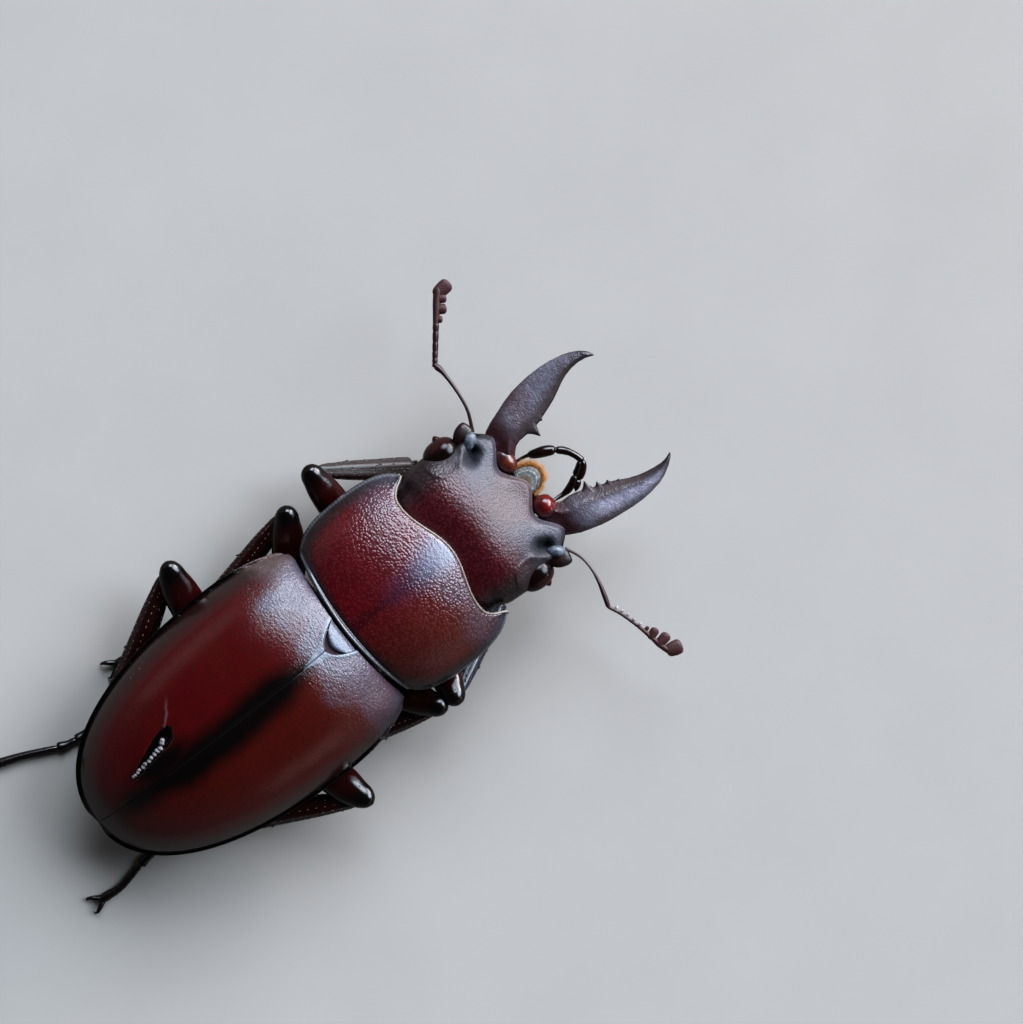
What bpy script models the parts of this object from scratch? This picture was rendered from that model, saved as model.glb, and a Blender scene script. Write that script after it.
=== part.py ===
"""Stag beetle: a male of a small red-brown species, standing still, at life size.

The beetle faces -Y with its left side towards +X, and its feet stand on z = 0.
Lengths are in millimetres until a mesh is finished, and each is then scaled to metres.
A place on the body is (out, ahead, up): out from the midline on the named side, ahead of
the hind tip of the wing cases, and up from the ground.
"""
import math

import bmesh
import bpy
from mathutils import Vector

MM = 0.001
LEFT, RIGHT = 1, -1
SIDE_NAMES = {LEFT: "left", RIGHT: "right"}

# Driving dimensions, in millimetres.
GAP = 0.08                  # clearance between neighbouring pieces
SHELL = 0.55                # thickness of the wing cases and of the neck shield
CASE_LENGTH = 15.2          # wing cases, hind tip to base
CASE_HALF = 5.49            # half the width across both wing cases
CASE_WIDEST = 11.0          # where they are widest
CASE_HIGHEST = 9.0          # where they are highest
CASE_RISE = 3.5             # height of their dome above its rim
CASE_RIM = (3.35, 3.85)     # height of the rim at the hind tip and at the base
SHIELD_HALF = 5.03          # neck shield (pronotum), half width
SHIELD_WIDEST = 18.4
SHIELD_BACK = 15.05
SHIELD_AHEAD = 21.5         # its front corners
SHIELD_RIM = 3.95
SHIELD_RISE = 2.6
HEAD_BACK = 21.3            # rear corners of the head
HEAD_LENGTH = 4.75
HEAD_FRONT = 25.73          # mean line of the scalloped front edge of the head
HEAD_SCALLOP = (0.35, 2.75)  # depth and spacing of its scallops
HEAD_RIM = 3.95
HEAD_FLOOR = 2.55           # underside of the head
EYE_AT = (3.62, 23.68, 3.85)
EYE_RADII = (0.72, 0.90, 0.85)
BELLY_DEPTH = 1.45          # body below the rim of the wing cases
CHEST_DEPTH = 1.75          # body below the rim of the neck shield
FEELER = 0.26               # half thickness of the thinnest limbs

# Colours as linear RGB, roughness.
MAHOGANY = ((0.060, 0.006, 0.005), 0.30)
DARK_RED = ((0.045, 0.006, 0.006), 0.38)
PURPLE_BROWN = ((0.070, 0.045, 0.055), 0.45)
BLACK = ((0.010, 0.007, 0.007), 0.25)
RED_BLACK = ((0.022, 0.005, 0.004), 0.28)
EYE_BLACK = ((0.006, 0.005, 0.006), 0.08)
CLUB_BROWN = ((0.110, 0.045, 0.038), 0.70)
HORN_GREY = ((0.180, 0.170, 0.160), 0.35)


def bow(t, power, root):
    """Superellipse: 1 at t = 0, falling to 0 at t = 1."""
    return max(0.0, 1.0 - abs(t) ** power) ** (1.0 / root)


def mix(a, b, t):
    return a + (b - a) * t


def place(side, out, ahead, up):
    return Vector((side * out, -ahead, up))


def spline(rows, t):
    """Smooth curve through rows of numbers, t from 0 to 1, ends included."""
    spans = len(rows) - 1
    i = min(int(t * spans), spans - 1)
    s = t * spans - i
    before = rows[max(i - 1, 0)]
    after = rows[min(i + 2, spans)]
    smooth = []
    for p, a, b, q in zip(before, rows[i], rows[i + 1], after):
        m, n = (b - p) / 2, (q - a) / 2
        smooth.append((2 * s**3 - 3 * s**2 + 1) * a + (s**3 - 2 * s**2 + s) * m
                      + (3 * s**2 - 2 * s**3) * b + (s**3 - s**2) * n)
    return smooth


# ---------------------------------------------------------------- mesh helpers

def clear_scene():
    for thing in list(bpy.data.objects):
        bpy.data.objects.remove(thing, do_unlink=True)


def collection(name):
    group = bpy.data.collections.new(name)
    bpy.context.scene.collection.children.link(group)
    return group


def finish(bm, name, finish_of, group):
    """Turn a bmesh in millimetres into a named object in metres."""
    bmesh.ops.scale(bm, vec=(MM, MM, MM), verts=bm.verts)
    bmesh.ops.recalc_face_normals(bm, faces=bm.faces)
    if bm.calc_volume(signed=True) < 0:
        bmesh.ops.reverse_faces(bm, faces=bm.faces)
    mesh = bpy.data.meshes.new(name)
    bm.to_mesh(mesh)
    bm.free()
    mesh.shade_smooth()
    mesh.set_sharp_from_angle(angle=math.radians(40))
    colour, roughness = finish_of
    material = bpy.data.materials.new(name)
    material.use_nodes = True
    shader = material.node_tree.nodes["Principled BSDF"]
    shader.inputs["Base Color"].default_value = (*colour, 1.0)
    shader.inputs["Roughness"].default_value = roughness
    mesh.materials.append(material)
    thing = bpy.data.objects.new(name, mesh)
    group.objects.link(thing)
    return thing


def slab(across, along, top, bottom):
    """Closed plate: a grid and its extruded copy, each laid on its own surface.

    top and bottom turn (a, b), both 0 to 1, into a point.
    """
    bm = bmesh.new()
    bmesh.ops.create_grid(bm, x_segments=across, y_segments=along, size=1.0)
    upper = list(bm.verts)
    result = bmesh.ops.extrude_face_region(bm, geom=bm.faces[:])
    lower = [g for g in result["geom"] if isinstance(g, bmesh.types.BMVert)]
    for verts, surface in ((upper, top), (lower, bottom)):
        for v in verts:
            v.co = surface((v.co.x + 1) / 2, (v.co.y + 1) / 2)
    return bm


def loft(rings):
    """Closed skin: a disc extruded from ring to ring, each a list of points."""
    bm = bmesh.new()
    bmesh.ops.create_circle(bm, cap_ends=True, radius=1.0, segments=len(rings[0]))
    cap = bm.faces[:][0]
    for v, point in zip(cap.verts, rings[0]):
        v.co = point
    for ring in rings[1:]:
        cap = bmesh.ops.extrude_discrete_faces(bm, faces=[cap])["faces"][0]
        for v, point in zip(cap.verts, ring):
            v.co = point
    bmesh.ops.holes_fill(bm, edges=[e for e in bm.edges if e.is_boundary])
    return bm


def limb(side, stations, rings, sides, lowest=None):
    """Limb along stations of (out, ahead, up, half width, half height)."""
    hoops = []
    for i in range(rings):
        t = i / (rings - 1)
        out, ahead, up, wide, high = spline(stations, t)
        middle = place(side, out, ahead, up)
        back = Vector(place(side, *spline(stations, max(t - 0.02, 0.0))[:3]))
        front = Vector(place(side, *spline(stations, min(t + 0.02, 1.0))[:3]))
        along = (front - back).normalized()
        level = along.cross(Vector((0, 0, 1))).normalized()
        rise = level.cross(along)
        hoop = []
        for k in range(sides):
            angle = 2 * math.pi * (k + 0.5) / sides
            point = middle + level * wide * math.cos(angle) + rise * high * math.sin(angle)
            if lowest is not None:
                point.z = max(point.z, lowest)
            hoop.append(point)
        hoops.append(hoop)
    return loft(hoops)


def grow(bm, root, path, sizes):
    """Draw the face nearest to root out along a path, as a tooth, spine or claw."""
    face = min(bm.faces, key=lambda f: (f.calc_center_median() - root).length)
    for target, size in zip(path, sizes):
        face = bmesh.ops.extrude_discrete_faces(bm, faces=[face])["faces"][0]
        middle = face.calc_center_median()
        for v in face.verts:
            v.co = target + (v.co - middle) * size


def ball(middle, radii, around, up_down):
    bm = bmesh.new()
    bmesh.ops.create_uvsphere(bm, u_segments=around, v_segments=up_down, radius=1.0)
    bmesh.ops.scale(bm, vec=radii, verts=bm.verts)
    bmesh.ops.translate(bm, vec=middle, verts=bm.verts)
    return bm


def cut(thing, cutter, cutters):
    """Take the cutter's shape out of the thing."""
    cutter.hide_render = True
    cutter.display_type = "WIRE"
    modifier = thing.modifiers.new(cutter.name, "BOOLEAN")
    modifier.operation = "DIFFERENCE"
    modifier.object = cutter


# ------------------------------------------------------------- shapes of the body

def case_half(ahead):
    if ahead < CASE_WIDEST:
        return CASE_HALF * bow((CASE_WIDEST - ahead) / CASE_WIDEST, 2.3, 2.3)
    return CASE_HALF * bow((ahead - CASE_WIDEST) / 5.2, 2.0, 5.4)


def case_rise(ahead):
    if ahead < CASE_HIGHEST:
        return CASE_RISE * bow((CASE_HIGHEST - ahead) / CASE_HIGHEST, 2.4, 1.8)
    return CASE_RISE * (1.0 - 0.36 * ((ahead - CASE_HIGHEST) / 6.2) ** 2.2)


def case_rim(ahead):
    return mix(*CASE_RIM, ahead / CASE_LENGTH)


def case_up(out, ahead, inset=0.0):
    half = case_half(ahead) - inset
    rise = max(case_rise(ahead) - inset, 0.05)
    return case_rim(ahead) + rise * bow(min(out / half, 1.0), 2.3, 2.0)


def case_base(out):
    """Front edge of the wing cases."""
    return CASE_LENGTH - 0.25 + 0.35 * (out / 4.4) ** 2


def scutellum_half(ahead):
    """Half width of the little triangle between the wing cases' bases."""
    tip, base, half = 13.85, 15.1, 0.88
    t = min(max((ahead - tip) / (base - tip), 0.0), 1.0)
    return half * t ** 0.75


def shield_half(ahead):
    if ahead < SHIELD_WIDEST:
        return SHIELD_HALF * bow((SHIELD_WIDEST - ahead) / (SHIELD_WIDEST - SHIELD_BACK), 2.5, 5.5)
    return SHIELD_HALF * bow((ahead - SHIELD_WIDEST) / 3.5, 2.5, 7.0)


def shield_rise(ahead):
    return SHIELD_RISE * (1.0 - 0.28 * ((ahead - 17.6) / 3.6) ** 2)


def shield_up(out, ahead, inset=0.0):
    half = shield_half(ahead) - inset
    rise = shield_rise(ahead) - inset
    return SHIELD_RIM + rise * bow(min(abs(out) / half, 1.0), 2.2, 1.9)


def shield_front(x):
    """Front edge of the neck shield, drawn back on each side of the middle."""
    low, turn, corner = 20.65, 2.95, 4.0
    x = min(abs(x), corner)
    if x < turn:
        return low + 0.325 * (1 + math.cos(math.pi * x / turn))
    return low + 0.75 * (x - turn) ** 3


def shield_back(x):
    return SHIELD_BACK + 0.33 * (x / 3.5) ** 2


def head_half(ahead):
    outline = ((21.3, 3.70), (22.0, 3.98), (22.9, 4.00), (23.7, 3.75), (24.4, 3.75),
               (24.75, 4.15), (25.45, 4.28), (25.6, 3.65), (26.05, 2.85))
    for (a, wide_a), (b, wide_b) in zip(outline, outline[1:]):
        if ahead <= b:
            return mix(wide_a, wide_b, max(ahead - a, 0.0) / (b - a))
    return outline[-1][1]


def head_front(x):
    depth, spacing = HEAD_SCALLOP
    return HEAD_FRONT + depth * math.cos(2 * math.pi * x / spacing)


def head_length(ahead):
    """0 at the back of the head, 1 at the tips of its front edge."""
    return min(max((ahead - HEAD_BACK) / HEAD_LENGTH, 0.0), 1.0)


def head_up(x, ahead):
    """Top of the head: a low dome with a wide hollow behind its front edge."""
    t = head_length(ahead)
    dome = mix(1.65, 0.55, t ** 1.6) * bow(min(abs(x) / head_half(ahead), 1.0), 2.4, 2.0)
    hollow = 0.38 * math.exp(-((x / 2.0) ** 2) - ((ahead - 24.9) / 1.1) ** 2)
    return HEAD_RIM + 0.12 * (1 - t) + dome - hollow


def head_down(x, ahead):
    t = head_length(ahead)
    depth = mix(1.40, 0.75, t ** 2)
    return HEAD_RIM - 0.45 - (depth - 0.45) * bow(min(abs(x) / head_half(ahead), 1.0), 2.0, 2.0)


# ---------------------------------------------------------------------- pieces

def wing_case(side, group):
    def spot(a, b, inset):
        half_turn = math.sin(a * math.pi / 2)
        back = 0.30 - 0.24 * math.sin(math.pi * a ** 0.8)
        nominal = mix(0.2, CASE_LENGTH, b ** 1.5)
        inner = max(GAP / 2, scutellum_half(nominal) + GAP / 2)
        out = mix(inner, case_half(nominal), half_turn)
        ahead = mix(back, case_base(out), b ** 1.5) + inset * (1 - b) ** 6
        half = case_half(min(ahead, CASE_LENGTH)) - inset
        out = mix(inner, half, half_turn)
        return out, ahead

    def top(a, b):
        out, ahead = spot(a, b, 0.0)
        return place(side, out, ahead, case_up(out, ahead))

    def bottom(a, b):
        out, ahead = spot(a, b, SHELL)
        return place(side, out, ahead, case_up(out, ahead, SHELL))

    finish(slab(9, 13, top, bottom), f"elytron_{SIDE_NAMES[side]}", MAHOGANY, group)


def scutellum(group):
    def spot(a, b):
        ahead = mix(14.0, 14.95, b)
        return (2 * a - 1) * (scutellum_half(ahead) - GAP / 2), ahead

    def top(a, b):
        x, ahead = spot(a, b)
        return place(1, x, ahead, case_up(abs(x), ahead) - 0.06)

    def bottom(a, b):
        x, ahead = spot(a, b)
        return place(1, x, ahead, case_up(abs(x), ahead) - SHELL)

    finish(slab(4, 4, top, bottom), "scutellum", DARK_RED, group)


def neck_shield(group):
    def spot(a, b, inset):
        across = math.sin((a - 0.5) * math.pi)
        ahead = mix(SHIELD_BACK + 0.15, SHIELD_AHEAD, b)
        for _ in range(4):
            x = across * (shield_half(ahead) - inset)
            ahead = mix(shield_back(x), shield_front(x), b)
        return x, ahead, abs(across)

    def top(a, b):
        x, ahead, across = spot(a, b, 0.0)
        return place(1, x, ahead, SHIELD_RIM + shield_rise(ahead) * bow(across, 2.2, 1.9))

    def bottom(a, b):
        x, ahead, across = spot(a, b, SHELL)
        rise = shield_rise(ahead) - SHELL
        return place(1, x, ahead, SHIELD_RIM - 0.12 + rise * bow(across, 2.2, 1.9))

    finish(slab(16, 10, top, bottom), "pronotum", DARK_RED, group)


def trunk(name, stations, half, crown, keel, finish_of, group, coxae=()):
    """Body under the shells, with rings of a domed top and a rounded underside."""
    across = 10
    rings = []
    for ahead in stations:
        wide = half(ahead)
        ring = []
        for k in range(2 * across):
            turn = math.pi * (k + 0.5) / across
            x = wide * math.cos(turn)
            up = crown(x, ahead) if math.sin(turn) > 0 else keel(x, ahead)
            ring.append(place(1, x, ahead, up))
        rings.append(ring)
    thing = finish(loft(rings), name, finish_of, group)
    for cutter in coxae:
        cut(thing, cutter, group)
    return thing


def eye(side, grown):
    out, ahead, up = EYE_AT
    return ball(place(side, out, ahead, up), [r + grown for r in EYE_RADII], 12, 7)


def head(group, cutters):
    def spot(a, b):
        across = math.sin((a - 0.5) * math.pi * 0.86) / math.sin(0.43 * math.pi)
        ahead = mix(HEAD_BACK, HEAD_FRONT, b)
        for _ in range(4):
            x = across * head_half(ahead)
            ahead = mix(shield_front(x) + 3.0 * GAP, head_front(x), b)
        return x, ahead

    def top(a, b):
        x, ahead = spot(a, b)
        return place(1, x, ahead, head_up(x, ahead))

    def bottom(a, b):
        x, ahead = spot(a, b)
        return place(1, x, ahead, head_down(x, ahead))

    thing = finish(slab(18, 10, top, bottom), "head", DARK_RED, group)
    for side in (LEFT, RIGHT):
        finish(eye(side, 0.0), f"eye_{SIDE_NAMES[side]}", EYE_BLACK, group)
        socket = finish(eye(side, GAP), f"eye_socket_{SIDE_NAMES[side]}", BLACK, cutters)
        cut(thing, socket, cutters)


def jaw(side, group):
    """Jaw: broad flat base, a tooth inside it, and a tip bent inwards and up."""
    stations = (
        # out, ahead, up, half width, half height
        (2.35, 26.30, 3.70, 0.70, 0.50),
        (2.60, 27.10, 3.72, 0.86, 0.55),
        (2.80, 28.00, 3.76, 0.92, 0.52),
        (3.04, 28.95, 3.84, 0.82, 0.46),
        (3.25, 29.85, 3.96, 0.64, 0.40),
        (3.38, 30.65, 4.12, 0.45, 0.34),
        (3.32, 31.40, 4.30, 0.30, 0.27),
        (2.98, 31.95, 4.45, 0.17, 0.18),
        (2.80, 32.12, 4.50, 0.05, 0.06),
    )
    bm = limb(side, stations, 18, 8)
    grow(bm, place(side, 1.86, 27.95, 3.78),
         (place(side, 1.52, 27.90, 3.74), place(side, 1.22, 27.92, 3.70)), (0.55, 0.35))
    for ahead, out in ((28.55, 2.05), (29.1, 2.28), (29.6, 2.52)):
        grow(bm, place(side, out + 0.12, ahead, 3.62),
             (place(side, out - 0.10, ahead + 0.02, 3.55),), (0.35,))
    finish(bm, f"mandible_{SIDE_NAMES[side]}", PURPLE_BROWN, group)


def mouth(group):
    labrum = ball(place(1, 0, 26.45, 3.62), (0.74, 0.28, 0.16), 12, 6)
    finish(labrum, "labrum", HORN_GREY, group)
    rows = ((0.0, 23.2, 2.22, 1.20, 0.22), (0.0, 24.3, 2.34, 1.55, 0.26),
            (0.0, 25.4, 2.58, 1.50, 0.26), (0.0, 26.3, 2.72, 1.05, 0.22))
    finish(limb(1, rows, 6, 10), "mentum", BLACK, group)


def palps(group):
    left = ((1.18, 26.44, 2.74, 0.26), (0.98, 27.05, 3.00, 0.26), (0.55, 27.75, 3.10, 0.30),
            (0.15, 28.30, 3.10, 0.26), (-0.30, 28.65, 3.02, 0.27), (-0.90, 28.80, 2.85, 0.27),
            (-1.30, 28.52, 2.70, 0.26), (-1.45, 28.15, 2.62, 0.18))
    right = ((1.30, 26.42, 2.60, 0.26), (1.58, 27.10, 2.25, 0.26), (1.42, 27.65, 2.15, 0.30),
             (1.12, 28.08, 2.10, 0.26), (0.78, 28.45, 2.10, 0.20))
    for side, rows in ((LEFT, left), (RIGHT, right)):
        rows = [(*row, row[-1]) for row in rows]
        finish(limb(side, rows, 2 * len(rows), 6), f"palp_{SIDE_NAMES[side]}", BLACK, group)


ANTENNAE = {
    LEFT: {"scape": ((3.76, 25.76, 3.74), (4.85, 26.08, 3.92), (6.15, 26.22, 4.02), (6.92, 26.05, 4.00)),
           "funicle": ((7.12, 26.22, 3.98), (7.80, 26.72, 3.95), (8.52, 27.24, 3.92)),
           "club": ((8.64, 27.36, 3.90), (9.98, 28.72, 3.80)),
           "lamella": (-0.69, 0.72)},
    RIGHT: {"scape": ((3.76, 25.76, 3.74), (4.75, 25.95, 3.92), (5.92, 25.86, 4.02), (6.80, 25.50, 4.00)),
            "funicle": ((7.04, 25.56, 3.98), (7.95, 25.82, 3.95), (8.90, 26.08, 3.92)),
            "club": ((9.02, 26.12, 3.90), (10.70, 26.62, 3.80)),
            "lamella": (-0.05, 0.64)},
}


def feeler(side, group):
    """Antenna: a long scape, an elbow, a beaded funicle and a comb of four plates."""
    shape = ANTENNAE[side]
    name = SIDE_NAMES[side]
    scape = [(*p, FEELER, FEELER) for p in shape["scape"]]
    finish(limb(side, scape, 9, 6), f"antenna_scape_{name}", BLACK, group)
    funicle = [(*p, FEELER, FEELER) for p in shape["funicle"]]
    finish(limb(side, funicle, 7, 6), f"antenna_funicle_{name}", BLACK, group)

    (out_a, ahead_a, up_a), (out_b, ahead_b, up_b) = shape["club"]
    plate_out, plate_ahead = shape["lamella"]
    plates, steps = 4, 8
    rows = []
    for i in range(steps + 1):
        t = i / steps
        reach = 0.26 + (0.10 if i % 2 else 0.0)
        rows.append((mix(out_a, out_b, t), mix(ahead_a, ahead_b, t), mix(up_a, up_b, t),
                     reach if 0 < i < steps else 0.2, 0.26))
    bm = limb(side, rows, steps + 1, 8)
    for i in range(plates):
        t = (i + 0.6) / plates
        root = place(side, mix(out_a, out_b, t), mix(ahead_a, ahead_b, t), mix(up_a, up_b, t))
        reach = 0.42 + 0.08 * i
        lean = place(side, plate_out, plate_ahead, 0.0)
        grow(bm, root + lean * 0.35,
             (root + lean * reach, root + lean * (reach + 0.14)), (1.15, 0.5))
    finish(bm, f"antenna_club_{name}", CLUB_BROWN, group)


# Legs: the places of hip, knee and ankle, and the toes' route to the claws.
LEGS = {
    ("front", LEFT): {"hip": (2.32, 18.10, 1.62), "knee": (6.78, 18.30, 3.25), "ankle": (3.72, 22.10, 0.75),
                      "toes": ((3.40, 23.00), (3.00, 24.10), (2.60, 25.10))},
    ("front", RIGHT): {"hip": (2.36, 18.00, 1.62), "knee": (6.02, 17.00, 3.45), "ankle": (3.88, 21.40, 0.75),
                       "toes": ((3.65, 22.40), (3.35, 23.80), (3.10, 24.95))},
    ("middle", LEFT): {"hip": (2.32, 13.65, 1.55), "knee": (5.95, 16.25, 3.30), "ankle": (4.58, 11.20, 0.75),
                       "toes": ((4.52, 9.90), (4.84, 7.40), (5.10, 5.00))},
    ("middle", RIGHT): {"hip": (2.32, 13.65, 1.55), "knee": (5.88, 16.25, 3.30), "ankle": (4.62, 11.30, 0.75),
                        "toes": ((4.40, 10.10), (4.20, 7.60), (4.15, 5.50))},
    ("hind", LEFT): {"hip": (2.15, 9.30, 1.50), "knee": (7.30, 10.30, 3.55), "ankle": (3.75, 4.30, 0.80),
                     "toes": ((3.45, 2.60), (3.50, 0.90), (4.34, -0.96), (4.95, -2.55))},
    ("hind", RIGHT): {"hip": (2.15, 9.30, 1.50), "knee": (7.10, 10.75, 3.55), "ankle": (3.85, 4.10, 0.80),
                      "toes": ((3.35, 2.20), (3.20, 0.40), (3.52, -1.20), (3.42, -2.70))},
}
THIGH_HALF = {"front": 0.68, "middle": 0.58, "hind": 0.60}
SHIN_HALF = {"front": 0.46, "middle": 0.40, "hind": 0.44}
SHIN_TEETH = {"front": (0.35, 0.6, 0.88), "middle": (0.55,), "hind": (0.6,)}
COXAE = {"front": ((1.25, 17.95, 1.92), (0.95, 0.62, 0.60)),
         "middle": ((1.30, 13.45, 1.92), (0.92, 0.58, 0.56)),
         "hind": ((1.15, 9.20, 1.90), (0.88, 0.55, 0.52))}


def coxa(pair, side, grown):
    (out, ahead, up), radii = COXAE[pair]
    return ball(place(side, out, ahead, up), [r + grown for r in radii], 10, 6)


def between(start, end, t):
    return [mix(a, b, t) for a, b in zip(start, end)]


def leg(pair, side, group):
    shape = LEGS[(pair, side)]
    name = f"{pair}_{SIDE_NAMES[side]}"
    hip, knee, ankle = shape["hip"], shape["knee"], shape["ankle"]
    finish(coxa(pair, side, 0.0), f"coxa_{name}", BLACK, group)

    # Femur: slim at the hip, swollen along its middle, rounded at the knee.
    swell = THIGH_HALF[pair]
    profile = ((0.00, 0.50, 0.62), (0.20, 0.80, 0.85), (0.50, 1.00, 1.00), (0.80, 0.92, 0.92),
               (0.98, 0.66, 0.66), (1.05, 0.34, 0.36))
    rows = [(*between(hip, knee, t), swell * wide, 0.52 * high) for t, wide, high in profile]
    finish(limb(side, rows, 8, 8), f"femur_{name}", RED_BLACK, group)

    # Tibia: starts under the knee, widens to the ankle.
    wide = SHIN_HALF[pair]
    start = Vector(between(knee, ankle, 0.0))
    run = Vector(ankle) - start
    top = start + run.normalized() * 0.72 - Vector((0, 0, 0.42))
    profile = ((0.0, 0.60), (0.12, 0.80), (0.45, 0.90), (0.85, 1.10), (1.0, 0.85))
    rows = [(*between(top, ankle, t), wide * w, max(wide * w * 0.8, FEELER)) for t, w in profile]
    bm = limb(side, rows, 8, 8)
    edge = Vector((run.y, -run.x, 0.0)).normalized()
    if edge.x < 0:
        edge.negate()
    for t in SHIN_TEETH[pair]:
        root = Vector(between(top, ankle, t)) + edge * wide
        tip = root + edge * 0.16 + run.normalized() * 0.12
        grow(bm, place(side, *root), (place(side, *tip),), (0.25,))
    finish(bm, f"tibia_{name}", RED_BLACK, group)

    # Tarsus: five joints that widen towards their ends, flat where they lie on the ground.
    toes = [(out, ahead, FEELER - 0.02) for out, ahead in shape["toes"]]
    step = (Vector(toes[0]) - Vector(ankle)).normalized()
    first = Vector(ankle) + step * 0.12 + Vector((0, 0, -0.08))
    route = [tuple(first), *toes]
    joints, rows = 5, []
    for i in range(2 * joints + 1):
        out, ahead, up = spline(route, i / (2 * joints))
        swollen = FEELER + (0.06 if i % 2 else 0.0)
        rows.append((out, ahead, up, swollen, swollen))
    bm = limb(side, rows, 2 * joints + 1, 8, lowest=0.0)
    end = Vector(place(side, *rows[-1][:3]))
    before = Vector(place(side, *rows[-2][:3]))
    along = (end - before).normalized()
    level = along.cross(Vector((0, 0, 1))).normalized()
    for hand in (1, -1):
        root = end - along * 0.2 + level * hand * 0.3
        grow(bm, root, (root + along * 0.25 + level * hand * 0.18,
                        root + along * 0.55 + level * hand * 0.22 - Vector((0, 0, 0.08)),
                        root + along * 0.80 + level * hand * 0.12 - Vector((0, 0, 0.15))),
             (0.7, 0.6, 0.4))
    for v in bm.verts:
        v.co.z = max(v.co.z, 0.0)
    finish(bm, f"tarsus_{name}", BLACK, group)


def body(group, cutters):
    def coxa_cutters(*pairs):
        made = []
        for pair in pairs:
            for side in (LEFT, RIGHT):
                name = f"coxa_socket_{pair}_{SIDE_NAMES[side]}"
                made.append(finish(coxa(pair, side, GAP), name, BLACK, cutters))
        return made

    inset = SHELL + 1.5 * GAP
    shield_inset = inset + 2 * GAP

    def case_inside(ahead):
        waist = bow(max(ahead - 14.8, 0.0) / 0.55, 2.0, 2.0)
        return (case_half(ahead) - inset) * waist

    def belly_up(x, ahead):
        return case_up(abs(x), ahead, inset)

    def belly_down(x, ahead):
        depth = BELLY_DEPTH * bow(max(8.0 - ahead, 0.0) / 9.0, 2.2, 1.6)
        return case_rim(ahead) - depth * bow(abs(x) / case_inside(ahead), 2.0, 2.0)

    def shield_inside(ahead):
        neck = bow(max(ahead - 20.3, 0.0) / 0.75, 2.0, 2.0)
        waist = bow(max(15.9 - ahead, 0.0) / 0.75, 2.0, 2.0)
        return (shield_half(ahead) - shield_inset) * neck * waist

    def chest_up(x, ahead):
        drop = 0.12 + max(ahead - 19.5, 0.0) * 0.3
        return shield_up(abs(x), ahead, shield_inset) - drop

    def chest_down(x, ahead):
        return SHIELD_RIM - 0.12 - CHEST_DEPTH * bow(abs(x) / shield_inside(ahead), 1.6, 1.6)

    trunk("abdomen", (1.0, 1.5, 2.2, 3.2, 4.6, 6.2, 7.6, 8.6), case_inside, belly_up, belly_down,
          RED_BLACK, group)
    trunk("thorax_underside", (8.7, 9.8, 11.2, 12.6, 13.8, 14.7, 15.0), case_inside, belly_up,
          belly_down, BLACK, group, coxa_cutters("middle", "hind"))
    trunk("prothorax_underside", (15.3, 15.5, 16.2, 17.2, 18.4, 19.5, 20.3, 20.7), shield_inside, chest_up,
          chest_down, BLACK, group, coxa_cutters("front"))


def centre_on_ground(group):
    """Move everything so that the origin is under the middle of the whole box."""
    bpy.context.view_layer.update()
    corners = [thing.matrix_world @ Vector(c) for thing in group.objects for c in thing.bound_box]
    low = [min(c[i] for c in corners) for i in range(3)]
    high = [max(c[i] for c in corners) for i in range(3)]
    shift = Vector((-(low[0] + high[0]) / 2, -(low[1] + high[1]) / 2, -low[2]))
    for thing in bpy.data.objects:
        thing.location += shift


def build():
    clear_scene()
    beetle = collection("stag_beetle")
    cutters = collection("cutters")
    body(beetle, cutters)
    neck_shield(beetle)
    scutellum(beetle)
    head(beetle, cutters)
    mouth(beetle)
    palps(beetle)
    for side in (LEFT, RIGHT):
        wing_case(side, beetle)
        jaw(side, beetle)
        feeler(side, beetle)
        for pair in ("front", "middle", "hind"):
            leg(pair, side, beetle)
    centre_on_ground(beetle)


build()
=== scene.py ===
"""Stag beetle: the finish of every shell plate, limb and feeler, on a pale floor in soft light.

Lengths are in millimetres until a mesh is finished. A place on the body is (out, ahead, up):
out from the midline on the named side, ahead of the hind tip of the wing cases, up from the floor.
"""
import random
from math import cos, exp, hypot, pi, radians, sin

import bmesh
import bpy
from mathutils import Matrix, Vector, kdtree, noise


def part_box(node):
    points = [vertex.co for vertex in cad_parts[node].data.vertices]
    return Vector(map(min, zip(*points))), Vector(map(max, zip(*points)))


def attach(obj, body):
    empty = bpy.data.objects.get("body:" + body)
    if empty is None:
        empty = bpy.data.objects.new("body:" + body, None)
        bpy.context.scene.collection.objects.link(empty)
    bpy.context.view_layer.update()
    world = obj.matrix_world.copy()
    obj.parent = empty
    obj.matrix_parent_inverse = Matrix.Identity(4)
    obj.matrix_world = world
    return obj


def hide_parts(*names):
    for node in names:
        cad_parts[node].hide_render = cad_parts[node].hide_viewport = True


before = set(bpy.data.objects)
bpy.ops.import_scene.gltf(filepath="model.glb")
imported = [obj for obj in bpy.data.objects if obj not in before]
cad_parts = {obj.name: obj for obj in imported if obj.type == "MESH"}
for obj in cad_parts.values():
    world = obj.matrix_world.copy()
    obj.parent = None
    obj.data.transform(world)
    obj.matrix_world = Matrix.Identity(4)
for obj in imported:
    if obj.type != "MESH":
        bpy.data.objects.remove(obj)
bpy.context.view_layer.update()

MM = 0.001
LEFT, RIGHT = 1, -1
SIDE_NAMES = {LEFT: "left", RIGHT: "right"}
PAIRS = ("front", "middle", "hind")

# The beetle's own axes, worked out from the wing cases of the frame.
MIDLINE = (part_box("elytron_left")[0].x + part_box("elytron_right")[1].x) / 2 / MM
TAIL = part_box("elytron_left")[1].y / MM + 0.06

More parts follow.
